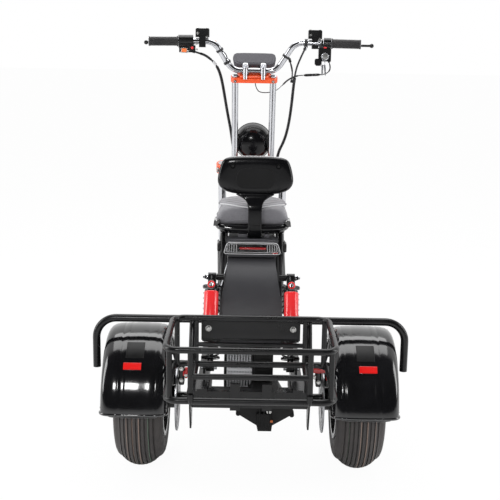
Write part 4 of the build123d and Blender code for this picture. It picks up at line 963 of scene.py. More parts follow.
# ---- wheels -----------------------------------------------------------------------------------
@dataclass
class Tyre:
    """A ribbed tyre about its axle."""

    name: str
    node: str
    body: str
    threads: tuple[tuple[float, float, Colour], ...]
    crown_drop: float = 25.0
    shoulder: float = 53.0
    groove_places: tuple[float, ...] = (-46, -34.5, -23, -11.5, 0, 11.5, 23, 34.5, 46)
    groove_half: float = 2.1
    groove_depth: float = 4.5
    groove_floor: float = 0.45
    bead_radius: float = 107.6
    bead_half: float = 58.5
    bead_rise: float = 8.0
    wall: Pairs = ((65, 122), (68.6, 132), (69.9, 143), (69.6, 152), (67.6, 160), (63.6, 167.5),
                   (58.2, 172.6))
    inner_half: float = 50.0
    inner_wall: Pairs = ((56, 124), (60, 146), (50, 164))
    inner_crown: float = 178.0

    def build(self) -> bpy.types.Object:
        """Spin the tyre's section and dress it."""
        low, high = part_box(self.node)
        centre = (low + high) / 2
        radius = (high.z - low.z) / 2 / MM
        arc = (self.shoulder ** 2 + self.crown_drop ** 2) / (2 * self.crown_drop)

        def crown(x: float) -> float:
            """The tread's radius at a distance from the middle."""
            return radius - arc + math.sqrt(arc ** 2 - x ** 2)

        tread: list[Pair] = []
        edge = -self.shoulder
        for place in [*self.groove_places, self.shoulder + self.groove_half]:
            last = min(place - self.groove_half, self.shoulder)
            tread += [(x, crown(x)) for x in np.linspace(edge, last, 4)]
            if place < self.shoulder:
                tread += [(place - self.groove_half * self.groove_floor, crown(place) - self.groove_depth),
                          (place + self.groove_half * self.groove_floor, crown(place) - self.groove_depth)]
            edge = place + self.groove_half
        foot = (self.bead_half, self.bead_radius)
        wall = [foot, (self.bead_half, self.bead_radius + self.bead_rise), *self.wall]
        left = [(-x, z) for x, z in wall]
        inner = [(self.inner_half, self.bead_radius), *self.inner_wall]
        inside = [*inner, (0, self.inner_crown), *((-x, z) for x, z in inner[::-1])]
        section = left + tread + wall[::-1] + inside
        line = [Vector((centre.x + x * MM, centre.y, centre.z + z * MM)) for x, z in section]
        piece = spun(self.name, line, centre, ACROSS, closed=True, steps=128, angle=32)
        look = Rubber(tint(46, 43, 43), tint(84, 79, 76), 0.62, 900, 0.00018, 0.5, centre.x, self.threads)
        FINISHES[f"tread_{self.node}"] = look
        return fit(piece, self.body, f"tread_{self.node}", [self.node])


@dataclass
class Wheels:
    """The three wheels' tyres and the details of their discs and rims."""

    left_threads: tuple[tuple[float, float, Colour], ...] = (
        (-27, 1.8, BROWN_THREAD), (-10, 3.4, BROWN_THREAD), (8, 2.8, BROWN_THREAD), (33, 1.4, GREEN_THREAD))
    right_threads: tuple[tuple[float, float, Colour], ...] = (
        (-3, 2.4, BROWN_THREAD), (15, 3.2, BROWN_THREAD), (39, 1.8, BROWN_THREAD), (-35, 1.4, GREEN_THREAD))
    vents: int = 18
    vent_circles: Triple = (71.0, 81.0, 91.0)
    vent_radius: float = 3.4
    carrier_radii: Triple = (30.0, 58.0, 60.0)
    band_radii: Triple = (62.0, 98.6, 99.6)
    cap_seat: float = 30.0
    cap_profile: Pairs = ((24, 0), (24, 20), (27, 22), (33, 20), (36, 14), (36, 0))
    nuts: int = 5
    nut_circle: float = 26.0

    def build(self) -> None:
        """Build every tyre, and the discs, hub caps and nuts."""
        Tyre("rear_left_tread", "rear_left_tyre", "rear_left_wheel", self.left_threads).build()
        Tyre("rear_right_tread", "rear_right_tyre", "rear_right_wheel", self.right_threads).build()
        Tyre("front_tread", "front_tyre", "front_wheel", self.left_threads).build()
        for side, body in (("rear_left", "rear_left_wheel"), ("rear_right", "rear_right_wheel"),
                           ("front", "front_wheel")):
            self.disc(f"{side}_disc", body)
        for side, sign in (("left", -1), ("right", 1)):
            self.hub(side, sign)

    def disc(self, node: str, body: str) -> None:
        """A disc and its carrier, with dark rods in the vents' places as painted shade."""
        low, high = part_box(node)
        centre = (low + high) / 2
        half = (high.x - low.x) / 2 / MM - 0.2
        bore, lip, flush = self.carrier_radii
        inner, outer, rim = self.band_radii
        carrier = turned("carrier", [(-half - 1.2, bore), (-half - 1.2, lip), (-half, flush), (half, flush),
                                     (half + 1.2, lip), (half + 1.2, bore)], centre, ACROSS, 48)
        band = turned("band", [(-half, inner), (-half, outer), (-half + 0.6, rim), (half - 0.6, rim),
                               (half, outer),
                               (half, inner), (-half, inner)], centre, ACROSS, 72)
        # Dark rods fill the vent holes' places: painted shade standing in for the holes.
        eyes = [rod("vent", centre + Vector((-half - 0.5, 0, r)) * MM,
                    centre + Vector((half + 0.5, 0, r)) * MM,
                    self.vent_radius) for r in self.vent_circles]
        spoke = joined("vents", *eyes)
        fan = [again(spoke, "vent", turn=around(centre, ACROSS, 360 / self.vents * k))
               for k in range(1, self.vents)]
        for piece in (spoke, *fan):
            piece.data.materials.clear()
        vents = fit(joined(f"{node}_vents", spoke, *fan), body, "lever_black")
        vents.data.polygons.foreach_set("use_smooth", [True] * len(vents.data.polygons))
        fit(joined(f"{node}_band", band, carrier), body, "disc_steel")

    def hub(self, side: str, sign: int) -> None:
        """The hub cap and nuts on a rear wheel's outer side."""
        node, body = f"rear_{side}_rim", f"rear_{side}_wheel"
        low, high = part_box(node)
        face = Vector((high.x if sign > 0 else low.x, REAR_AXLE.y, REAR_AXLE.z))
        out = ACROSS * sign
        start = face - out * self.cap_seat * MM
        fit(turned(f"{node}_cap", self.cap_profile, start, out), body, "chrome")
        for index in range(self.nuts):
            angle = 2 * math.pi * index / self.nuts
            place = face - out * 2 * MM + (UP * math.cos(angle) + FORWARD * math.sin(angle)) * self.nut_circle * MM
            bolt(f"{node}_nut_{index}", place, out, 6, Head.HEX, body)


# ---- fenders ----------------------------------------------------------------------------------
@dataclass
class RearFender:
    """A glossy rear fender with pressed ridges, a satin patch, a reflector and a rolled lip."""

    side: str
    sign: int
    start: float = 22.0
    finish: float = 175.0
    wall: float = 3.0
    section: Pairs = (
        (-92.5, 176), (-92.5, 187), (-91.6, 194), (-88, 201.5), (-81, 208.4), (-72, 212.4), (-60, 214.5),
        (-46, 215.7), (-43.5, 215.1), (-41.5, 215.1), (-39, 215.9), (-25, 216.8), (-23, 216.3),
                      (-21.6, 216.3),
        (-10, 217.0), (5, 217.2), (20, 217.0), (31, 216.3), (32.6, 216.3), (34.5, 216.7), (54, 215.5),
        (57, 215.0), (59, 214.1), (61, 214.0), (64, 214.2), (70, 213.0), (80, 208.6), (87.5, 201.5),
        (91.4, 193.5), (92.5, 187), (92.5, 176))
    patch: Pair = (116.0, 131.0)
    patch_half: float = 25.5
    lamp_angle: float = 138.0
    lamp_half: Pair = (25.4, 10.6)
    lamp_radius: float = 217.4
    roll_sink: float = 1.5
    roll_wire: float = 9.5
    hem_share: float = 0.82
    hem_sink: float = 9.0
    hem_wire: float = 5.0
    side_bead: Triple = (91.2, 178.5, 5.0)
    bead_steps: int = 24
    patch_rise: Pairs = ((0, 216.3), (0.8, 217.6), (2, 218.0))

    def __post_init__(self) -> None:
        """Find the fender's middle."""
        self.centre = Vector((middle(f"fender_{self.side}").x, REAR_AXLE.y, REAR_AXLE.z))

    def place(self, inward: float, radius: float, angle: float) -> Vector:
        """A place by distance inward from the middle, radius and angle above forward."""
        turn = math.radians(angle)
        return self.centre + Vector((-self.sign * inward, radius * math.cos(turn),
                                     radius * math.sin(turn))) * MM

    def build(self) -> None:
        """Build the fender and what is on it."""
        line = [self.place(x, r, self.start) for x, r in self.section]
        shell = spun(f"fender_{self.side}_shell", line, self.centre, SPIN_UP, self.finish - self.start, 72,
                     angle=50)
        changed(shell, "SOLIDIFY", thickness=self.wall * MM, offset=-1.0)
        fit(settled(shell, 50), "chassis", "fender_black", [f"fender_{self.side}"])
        self.lip()
        self.rear_patch()
        self.lamp()

    def lip(self) -> None:
        """The rolled lower edge, a second hem inside it and a bead along the sides."""
        sunk = [(x, r - self.roll_sink) for x, r in self.section[1:-1]]
        twice = [(x, r - self.roll_sink) for x, r in sunk]
        roll = pipe("roll", [self.place(x, r, self.finish - 1.0) for x, r in twice], self.roll_wire)
        hem_line = [self.place(x * self.hem_share, r - self.hem_sink, self.finish + 1.2) for x,
                    r in sunk[3:-3]]
        hem = pipe("hem", hem_line, self.hem_wire)
        upper = pipe("upper_roll", [self.place(x, r, self.finish - 5.2) for x, r in twice], 4.0)
        across, radius, wire = self.side_bead
        angles = [self.start + (self.finish - self.start) * k / self.bead_steps
                  for k in range(self.bead_steps + 1)]
        edges = [pipe("edge", [self.place(x, radius, angle) for angle in angles], wire)
                 for x in (-across, across)]
        front_roll = pipe("front_roll", [self.place(x, r, self.start + 0.8) for x, r in twice], 7.0)
        fit(joined(f"fender_{self.side}_lip", roll, hem, upper, front_roll, *edges), "chassis", "gloss_black")

    def rear_patch(self) -> None:
        """The satin patch over the reflector."""
        low, high = self.patch
        half = self.patch_half
        left = [(-half + inset, r) for inset, r in self.patch_rise]
        line = [self.place(x, r, low) for x, r in (*left, *((-x, r) for x, r in left[::-1]))]
        piece = spun(f"fender_{self.side}_patch", line, self.centre, SPIN_UP, high - low, 10, angle=30)
        changed(piece, "SOLIDIFY", thickness=0.8 * MM, offset=-1.0)
        fit(eased(piece, 0.5, 1), "chassis", "patch_black")

    def lamp(self) -> None:
        """The red reflector in its black frame, square to the fender."""
        turn = math.radians(self.lamp_angle)
        out = Vector((0, math.cos(turn), math.sin(turn)))
        down = Vector((0, -math.sin(turn), math.cos(turn)))
        low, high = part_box("reflectors")
        across = high.x - self.lamp_half[0] * MM
        foot = Vector((self.sign * across, REAR_AXLE.y, REAR_AXLE.z)) + out * self.lamp_radius * MM
        wide, tall = self.lamp_half
        corners = [(-wide, -tall), (wide, -tall), (wide, tall), (-wide, tall)]
        base = plate("base", [foot + (ACROSS * x * 1.02 + down * y * 1.06) * MM for x, y in corners],
                     out * 1.6 * MM, 0.6)
        fit(base, "chassis", "lever_black")
        base.name = f"reflector_{self.side}_base"
        face = plate("face", [foot + out * 1.2 * MM + (ACROSS * x * 0.98 + down * y * 0.97) * MM for x,
                              y in corners],
                     out * 3.2 * MM, 1.0)
        face.name = f"reflector_{self.side}_face"
        fit(face, "chassis", "red_reflector", replaces=["reflectors"])


NODE_LOOKS = {"handlebar_switches": "lever_black", "axle_housing": "cast_black"}


def dress_cad() -> None:
    """Give every CAD node the finish of its own slot, or its own look where it has one."""
    for name, node in frame["nodes"].items():
        for slot in node.material_slots:
            slot.material = finish(NODE_LOOKS.get(name, slot.material.name.split(".")[0]))
        log.info("%s: CAD node dressed", name)
# ---- soft goods -------------------------------------------------------------------------------
def loft(name: str, rings: Sequence[Sequence[Vector]]) -> bpy.types.Object:
    """A closed form through rings of equal count: each ring is drawn, then bridged to the next."""
    hoops = [drawn(f"{name}_hoop", [*ring_points, ring_points[0]]) for ring_points in rings]
    piece = joined(name, *hoops)
    with editing(piece, "EDGE"):
        bpy.ops.mesh.remove_doubles(threshold=0.00001)
        bpy.ops.mesh.select_all(action="SELECT")
        bpy.ops.mesh.bridge_edge_loops()
        bpy.ops.mesh.select_all(action="SELECT")
        bpy.ops.mesh.region_to_loop()
        bpy.ops.mesh.edge_face_add()
    return settled(piece, 60)


def swollen(piece: bpy.types.Object, cap: float, voxel: float = 6.0, pressure: float = 4.0,
            frames: int = 20) -> bpy.types.Object:
    """Fill a pad: remesh it, swell it as cloth under pressure, hold each point within a cap, and smooth it.

    Args:
        piece: the pad's plain form.
        cap: how far a point may move, in millimetres.
        voxel: the remesh's size in millimetres.
        pressure: the cloth's inner pressure.
        frames: how many frames the cloth runs.

    Returns:
        The same piece.
    """
    changed(piece, "REMESH", mode="VOXEL", voxel_size=voxel * MM)
    before = np.empty(len(piece.data.vertices) * 3)
    after = np.empty_like(before)
    piece.data.vertices.foreach_get("co", before)
    pick(piece)
    cloth = piece.modifiers.new("cloth", "CLOTH")
    cloth.settings.use_pressure = True
    cloth.settings.uniform_pressure_force = pressure
    cloth.settings.effector_weights.gravity = 0
    cloth.point_cache.frame_start, cloth.point_cache.frame_end = 1, frames
    for frame_number in range(1, frames + 1):
        bpy.context.scene.frame_set(frame_number)
    bpy.ops.object.modifier_apply(modifier=cloth.name)
    bpy.context.scene.frame_set(1)
    piece.data.vertices.foreach_get("co", after)
    before, after = before.reshape(-1, 3), after.reshape(-1, 3)
    moves = after - before
    reach = np.maximum(np.linalg.norm(moves, axis=1, keepdims=True), 1e-9)
    after = before + moves * np.minimum(1.0, cap * MM / reach)
    piece.data.vertices.foreach_set("co", after.ravel())
    changed(piece, "SMOOTH", factor=0.5, iterations=6)
    changed(piece, "SUBSURF", levels=1)
    pick(piece)
    bpy.ops.object.shade_smooth()
    return piece


@dataclass
class Saddle:
    """The saddle: a swollen cushion with a ribbed top, its piping, its flared tips and its pan."""

    # Each station: its place, its top's half width, its foot's half width and its share of the height.
    stations: tuple[tuple[float, float, float, float], ...] = (
        (298, 88, 112, 0.9), (308, 99, 119, 0.97), (340, 104, 121, 1.0), (420, 106, 121, 1.0),
        (500, 102, 119, 0.95), (570, 90, 116, 0.8), (630, 76, 110, 0.6), (680, 60, 100, 0.43),
        (712, 46, 88, 0.32))
    foot_section: Pairs = ((0.9, 0), (1.0, 0.14), (0.985, 0.34))
    top_section: Pairs = ((1.06, 0.7), (1.0, 0.9), (0.9, 1.0), (0.45, 1.03))
    crown: float = 1.04
    low: float = 461.0
    high: float = 508.0
    cap: float = 5.0
    swell: float = 4.5
    edge_fall: float = 7.0
    ribs: int = 7
    rib_start: float = 338.0
    rib_pitch: float = 40.0
    rib_bow: float = 92.0
    rib_flat: float = 0.42
    rib_width: float = 28.0
    rib_inset: float = 5.0
    shade_strip_width: float = 7.0
    shade_strip_inset: float = 7.0
    half_places: tuple[float, ...] = (320, 350, 440, 520, 580, 630, 660)
    half_widths: tuple[float, ...] = (84, 101, 105, 97, 82, 60, 36)
    piping_wire: float = 4.6
    piping_lead: float = 22.0
    back_seam: tuple[float, float, float, float] = (117, 344, 46, 478)
    tray: tuple[Triple, Triple] = ((-103, 296, 434), (103, 700, 458))
    roll_half: Triples = ((108, 420, 456), (109, 340, 456), (106, 312, 456), (94, 301, 453),
                          (70, 298, 450.5), (35, 297, 449.5))
    roll_middle: Triple = (0, 297, 449)
    roll_wire: float = 23.0
    tip: Pairs = ((100, 470), (110, 459), (123, 458), (120, 477), (104, 480))
    tip_place: Pair = (292, 60)
    panels: tuple[tuple[float, float, float, float], ...] = ((-45, -15, 417, 433), (38, 54, 419, 433))
    panel_depth: Pair = (296, 312)

    def build(self) -> None:
        """Build the cushion first, then what is sewn and fixed to it."""
        rings = []
        for y, top, foot, share in self.stations:
            rise = (self.high - self.low) * share
            outline = [(-foot * wide, rise * tall) for wide, tall in self.foot_section]
            outline += [(-top * wide, rise * tall) for wide, tall in self.top_section]
            outline += [(0, rise * self.crown)]
            outline += [(-x, z) for x, z in outline[-2::-1]]
            rings.append([rear(x, y, self.low + z) for x, z in outline])
        cushion = swollen(loft("cushion", rings), self.cap)
        fit(cushion, "chassis", "seat_leather", replaces=["seat_cushion"])
        self.top()
        self.pan()

    def surface(self, x: float, y: float, lift: float = 0.0) -> Vector:
        """A place on the cushion's top."""
        places = [station[0] for station in self.stations]
        half, share = (float(np.interp(y, places, [station[k] for station in self.stations])) for k in (1, 3))
        fall = self.edge_fall * min(abs(x) / half, 1.1) ** 5
        return rear(x, y, self.low + (self.high - self.low) * share * self.crown + self.swell - fall + lift)

    def half_at(self, y: float) -> float:
        """The half width of the ribbed top."""
        return float(np.interp(y, self.half_places, self.half_widths))

    def arc(self, start: float, lift: float, inset: float = 0.0) -> list[Vector]:
        """An arc across the top that bows to the rear."""
        half = self.half_at(start + self.rib_bow) - inset
        return [self.surface(half * k / 8, start + self.rib_bow * (k / 8) ** 2, lift) for k in range(-8, 9)]

    def top(self) -> None:
        """The ribs with dark strips between them, painted shade in their valleys, and the pale piping round the
        top.
        """
        ribs, seams = [], []
        for index in range(self.ribs):
            start = self.rib_start + self.rib_pitch * index
            line = self.arc(start, 0, self.rib_inset)
            crest = line[len(line) // 2]
            tall = [Vector((place.x, place.y, crest.z + (place.z - crest.z) / self.rib_flat))
                    for place in line]
            rib = pipe("rib", tall, self.rib_width)
            with editing(rib):
                bpy.ops.transform.resize(value=(1, 1, self.rib_flat), center_override=crest)
            ribs.append(rib)
            # Each dark strip lies in the valley between two ribs, a painted shade.
            between = self.arc(start + self.rib_pitch / 2, 0.6, self.shade_strip_inset)
            seams.append(pipe("seam", between, self.shade_strip_width))
        fit(joined("seat_ribs", *ribs), "chassis", "seat_top_grey")
        fit(joined("seat_rib_valley_shades", *seams), "chassis", "rib_valley_painted_shade")
        edge = self.arc(self.rib_start - self.piping_lead, 1.5)
        far = [self.surface(self.half_at(y) + 1, y, 1.0) for y in range(435, 661, 25)]
        other = [Vector((-place.x, place.y, place.z)) for place in far[::-1]]
        piping = pipe("seat_piping", [*edge, *far, *other], self.piping_wire, True)
        fit(piping, "chassis", "pale_grey_and_painted_highlight")
        half, y, bow, z = self.back_seam
        turns = [math.radians(-84 + 12 * k) for k in range(15)]
        seam = [rear(half * math.sin(turn), y - bow * math.cos(turn), z) for turn in turns]
        fit(pipe("seat_seam", seam, 1.8), "chassis", "seat_top_grey")

    def pan(self) -> None:
        """The glossy pan behind the cushion's foot, its flared tips, and the panels under it."""
        skirt = block("seat_pan_tray", *(rear(*corner) for corner in self.tray), 9, 4)
        mirror = [(-x, y, z) for x, y, z in self.roll_half[::-1]]
        line = [rear(*place) for place in (*self.roll_half, self.roll_middle, *mirror)]
        roll = pipe("pan_roll", line, self.roll_wire)
        fit(joined("seat_pan_shell", skirt, roll), "chassis", "gloss_black", replaces=["seat_pan"])
        y, depth = self.tip_place
        tip = plate("tip", [rear(x, y, z) for x, z in self.tip], FORWARD * depth * MM, 2.5)
        fit(joined("seat_tips", tip, mirrored(tip, "tip_left")), "chassis", "gloss_black")
        y0, y1 = self.panel_depth
        panels = [block("panel", rear(x0, y0, z0), rear(x1, y1, z1), 3) for x0, x1, z0, z1 in self.panels]
        fit(joined("seat_panels", *panels), "chassis", "grey_plastic")


@dataclass
class Backrest:
    """The backrest: a crowned shell with its panel and screws, a swollen pad and the flared strap."""

    outline: Pairs = ((0, 0), (40, 0.8), (74, 4), (99, 12), (112, 23), (118.8, 37), (119, 52), (115, 75),
                      (109, 95), (103, 108), (92, 116), (64, 119.5), (30, 120.8), (0, 121))
    waist: float = 60.0
    waist_drop: float = 8.0
    # Each step: its depth from the shell's rear face, and the outline's size there.
    shell_steps: Pairs = ((0, 0.6), (0.35, 0.71), (1.5, 0.82), (4.2, 0.915), (8, 0.97), (13, 0.996),
                          (20, 1.0), (24, 0.99))
    panel: Pairs = ((-40, 12), (40, 12), (54, 20), (60, 36), (58, 62), (50, 78), (34, 85), (-34, 85),
                    (-50, 78), (-58, 62), (-60, 36), (-54, 20))
    panel_rise: float = 11.0
    panel_tall: float = 0.88
    panel_proud: float = 0.5
    screws: Pair = (71.0, 92.0)
    # Each step of the pad: its depth from the pad's start or from its front, and its size.
    pad_near: Pairs = ((2, 0.86), (8, 0.9), (24, 0.9))
    pad_far: Pairs = ((12, 0.86), (5, 0.74))
    pad_cap: float = 5.0
    pad_voxel: float = 5.0
    pad_seam: float = 44.0
    strap_foot: Pairs = ((368, 424.5), (330, 424.5), (300, 424), (284, 425.5), (275, 432), (271, 444),
                         (269.5, 470), (269.5, 505), (270.5, 528))
    strap_flare: Pairs = ((-1, 545), (2, 556), (3, 566))
    strap_halves: tuple[float, ...] = (23, 23, 23, 22.5, 22, 21.5, 21, 21, 22, 29, 52, 74)
    strap_thick: float = 5.0
    strap_section: Pairs = ((-1, -0.3), (-0.93, -0.8), (-0.6, -1), (0.6, -1), (0.93, -0.8), (1, -0.3),
                            (1, 0.3), (0.93, 0.8), (0.6, 1), (-0.6, 1), (-0.93, 0.8), (-1, 0.3))

    def __post_init__(self) -> None:
        """Find where the shell and the pad stand."""
        self.low, self.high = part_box("backrest_shell")
        self.pad_low, self.pad_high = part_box("backrest_pad")
        self.centre_x = (self.low.x + self.high.x) / 2

    def at(self, x: float, y: float, z: float) -> Vector:
        """A place by distances from the shell's middle, its rear face and its foot."""
        return Vector((self.centre_x + x * MM, self.low.y + y * MM, self.low.z + z * MM))

    def loop(self, y: float, size: float = 1.0) -> list[Vector]:
        """The shell's outline at a depth, scaled about its waist."""
        base = self.waist - self.waist_drop * (1 - size)
        right = [(x * size, base + (z - self.waist) * size) for x, z in self.outline]
        return [self.at(x, y, z) for x, z in right] + [self.at(-x, y, z) for x, z in right[-2:0:-1]]

    def build(self) -> None:
        """Build the shell, its panel and screws, the pad and the strap."""
        shell = loft("backrest_cover", [self.loop(y, size) for y, size in self.shell_steps])
        changed(shell, "SUBSURF", levels=1)
        fit(shell, "chassis", "shell_black", ["backrest_shell"])
        outline = [self.at(x, -self.panel_proud, z * self.panel_tall + self.panel_rise) for x,
                   z in self.panel]
        inner = plate("backrest_panel", outline, FORWARD * 3 * MM, 0.6, 3)
        fit(inner, "chassis", "patch_black")
        across, up = self.screws
        for index, x in enumerate((-across, across)):
            # The dimple's rim and well are near-black matt, a painted shade for the dark of the recess.
            rim = ring("rim", self.at(x, 0.5, up), FORWARD, 7.2, 1.5)
            well = rod("well", self.at(x, 0.0, up), self.at(x, 6, up), 7.0)
            fit(joined(f"backrest_dimple_{index}", rim, well), "chassis", "pit_painted_shade")
            bolt(f"backrest_screw_{index}", self.at(x, 0.2, up), -FORWARD, 3.4, Head.SOCKET,
                 look="lever_black")
        self.pad()
        self.strap()

    def pad(self) -> None:
        """The pad in front of the shell, with its piping and two sewn channels."""
        depth = (self.pad_high.y - self.low.y) / MM
        start = (self.pad_low.y - self.low.y) / MM
        steps = [(start + y, size) for y, size in self.pad_near] + [(depth - y, size) for y,
                                                                    size in self.pad_far]
        pad = swollen(loft("back_pad", [self.loop(y, size) for y, size in steps]), self.pad_cap,
                      self.pad_voxel)
        fit(pad, "chassis", "seat_leather", replaces=["backrest_pad"])
        fit(pipe("backrest_piping", self.loop(start + 1.0, 0.962), 6.0, True), "chassis", "pale_grey_and_painted_highlight")
        shares = [k / 4 for k in range(-4, 5)]
        seams = [pipe("seam", [self.at(x, depth - 1.5 - 3.5 * abs(share) ** 3, self.waist + 36 * share)
                               for share in shares], 2.2) for x in (-self.pad_seam, self.pad_seam)]
        fit(joined("backrest_seams", *seams), "chassis", "seat_top_grey")

    def strap(self) -> None:
        """The strap from under the cushion, round its bend and up to its flare in the shell."""
        low = (self.low.y - REAR_AXLE.y) / MM
        line = [*self.strap_foot, *((low + y, z) for y, z in self.strap_flare)]
        rings = []
        for index, ((y, z), half) in enumerate(zip(line, self.strap_halves)):
            before, after = line[max(index - 1, 0)], line[min(index + 1, len(line) - 1)]
            run = Vector((0, after[0] - before[0], after[1] - before[1])).normalized()
            thick = run.cross(ACROSS) * self.strap_thick
            centre = Vector((self.centre_x / MM, y, z))
            rings.append([rear(*(centre + ACROSS * half * a + thick * b)) for a, b in self.strap_section])
        band = loft("backrest_strap", rings)
        changed(band, "SUBSURF", levels=2)
        fit(band, "chassis", "shell_black", ["backrest_arm"])


# ---- tail -------------------------------------------------------------------------------------
@dataclass
class Tail:
    """The tail light with its lens, ribs and red strip, and the cowl's edges."""

    lens: Pairs = ((-79, 388.5), (81, 388.5), (87, 391), (87.5, 396), (81, 417), (77, 422.5), (70, 424.5),
                   (-68, 424.5), (-75, 422.5), (-79, 417), (-85.5, 396), (-85, 391))
    lens_middle: float = 406.5
    tray_y: float = 215.0
    cover_y: float = 204.4
    # Each rim: its width's share, its height's share and its depth.
    rims: Triples = ((1.0, 1.0, 204.6), (0.94, 0.74, 208.5))
    strip: tuple[Triple, Triple] = ((-38, 207.5, 402.5), (44, 213, 408.5))
    rib_places: tuple[float, ...] = (48.0, 55.5, 63.0, 70.5, 76.5)
    rib_y: float = 208.8
    rib_span: Pair = (395, 418)
    wedge: Pairs = ((62, 390), (80, 390), (80, 394), (66, 393))
    lip: Pairs = ((-72, 378.5), (72, 378.5), (80, 387), (-80, 387))
    ledges: Triples = ((74, 214, 427), (70, 232, 428.5))
    cap_low: Triple = (96, 206, 395)
    cap_high: Triple = (107, 246, 422)
    cowl_edge: Triples = ((-70.5, 225, 371), (-76, 203, 356), (-81.5, 180, 340), (-86, 155, 325),
                          (-90, 130, 311), (-95, 112, 301), (-98, 100, 294))

    def slab(self, name: str, outline: Pairs, y: float, depth: float, ease: float) -> bpy.types.Object:
        """A plate across the scooter, from an outline at a depth."""
        return plate(name, [rear(x, y, z) for x, z in outline], FORWARD * depth * MM, ease)

    def build(self) -> None:
        """Build the light from its tray outward."""
        fit(self.slab("tail_light_tray", self.lens, self.tray_y, 4, 1), "chassis", "lever_black")
        inset = tuple((x * 0.995, z) for x, z in self.lens)
        cover = self.slab("tail_light_cover", inset, self.cover_y, 2.2, 0.8)
        fit(cover, "chassis", "clear_plain", ["tail_light_lens"])
        # The pale rims are painted highlights: the bright edges of the clear lens.
        rims = [pipe("rim", [rear(x * wide, y, self.lens_middle + (z - self.lens_middle) * tall)
                             for x, z in self.lens], 2.2, True) for wide, tall, y in self.rims]
        fit(joined("tail_light_rims", *rims), "chassis", "pale_grey_and_painted_highlight")
        strip = block("tail_light_strip", *(rear(*corner) for corner in self.strip), 1.5)
        fit(strip, "chassis", "red_lens")
        foot, head = self.rib_span
        # The pale ribs are painted highlights on the clear lens's ribs.
        ribs = [rod("rib", rear(side * x, self.rib_y, foot), rear(side * x * 0.985, self.rib_y, head), 1.7,
                    1.3)
                for side in (-1, 1) for x in self.rib_places]
        fit(joined("tail_light_rib_highlights", *ribs), "chassis", "pale_grey_and_painted_highlight")
        fit(self.slab("wedge", self.wedge, 206.6, 5, 0.6), "chassis", "red_lens")
        fit(self.slab("tail_light_lip", self.lip, 206, 60, 2), "chassis", "satin_black")
        self.body()

    def body(self) -> None:
        """The light's ledges, the caps on the rails and the cowl's bright edge."""
        for index, (half, y, z) in enumerate(self.ledges):
            line = [rear(half * k / 3, y + 3 * abs(k / 3) ** 3, z - 3 * abs(k / 3) ** 4)
                    for k in range(-3, 4)]
            fit(pipe(f"tail_light_ledge_{index}", line, 2.4), "chassis", "grey_plastic")
        (x0, y0, z0), (x1, y1, z1) = self.cap_low, self.cap_high
        caps = [block("cap", rear(min(side * x0, side * x1), y0, z0), rear(max(side * x0, side * x1), y1, z1),
                      4, 3)
                for side in (-1, 1)]
        fit(joined("rail_caps", *caps), "chassis", "lever_black")
        edge = [rear(*place) for place in self.cowl_edge]
        fit(pipe("cowl_edge", edge, 3.6), "chassis", "chrome")


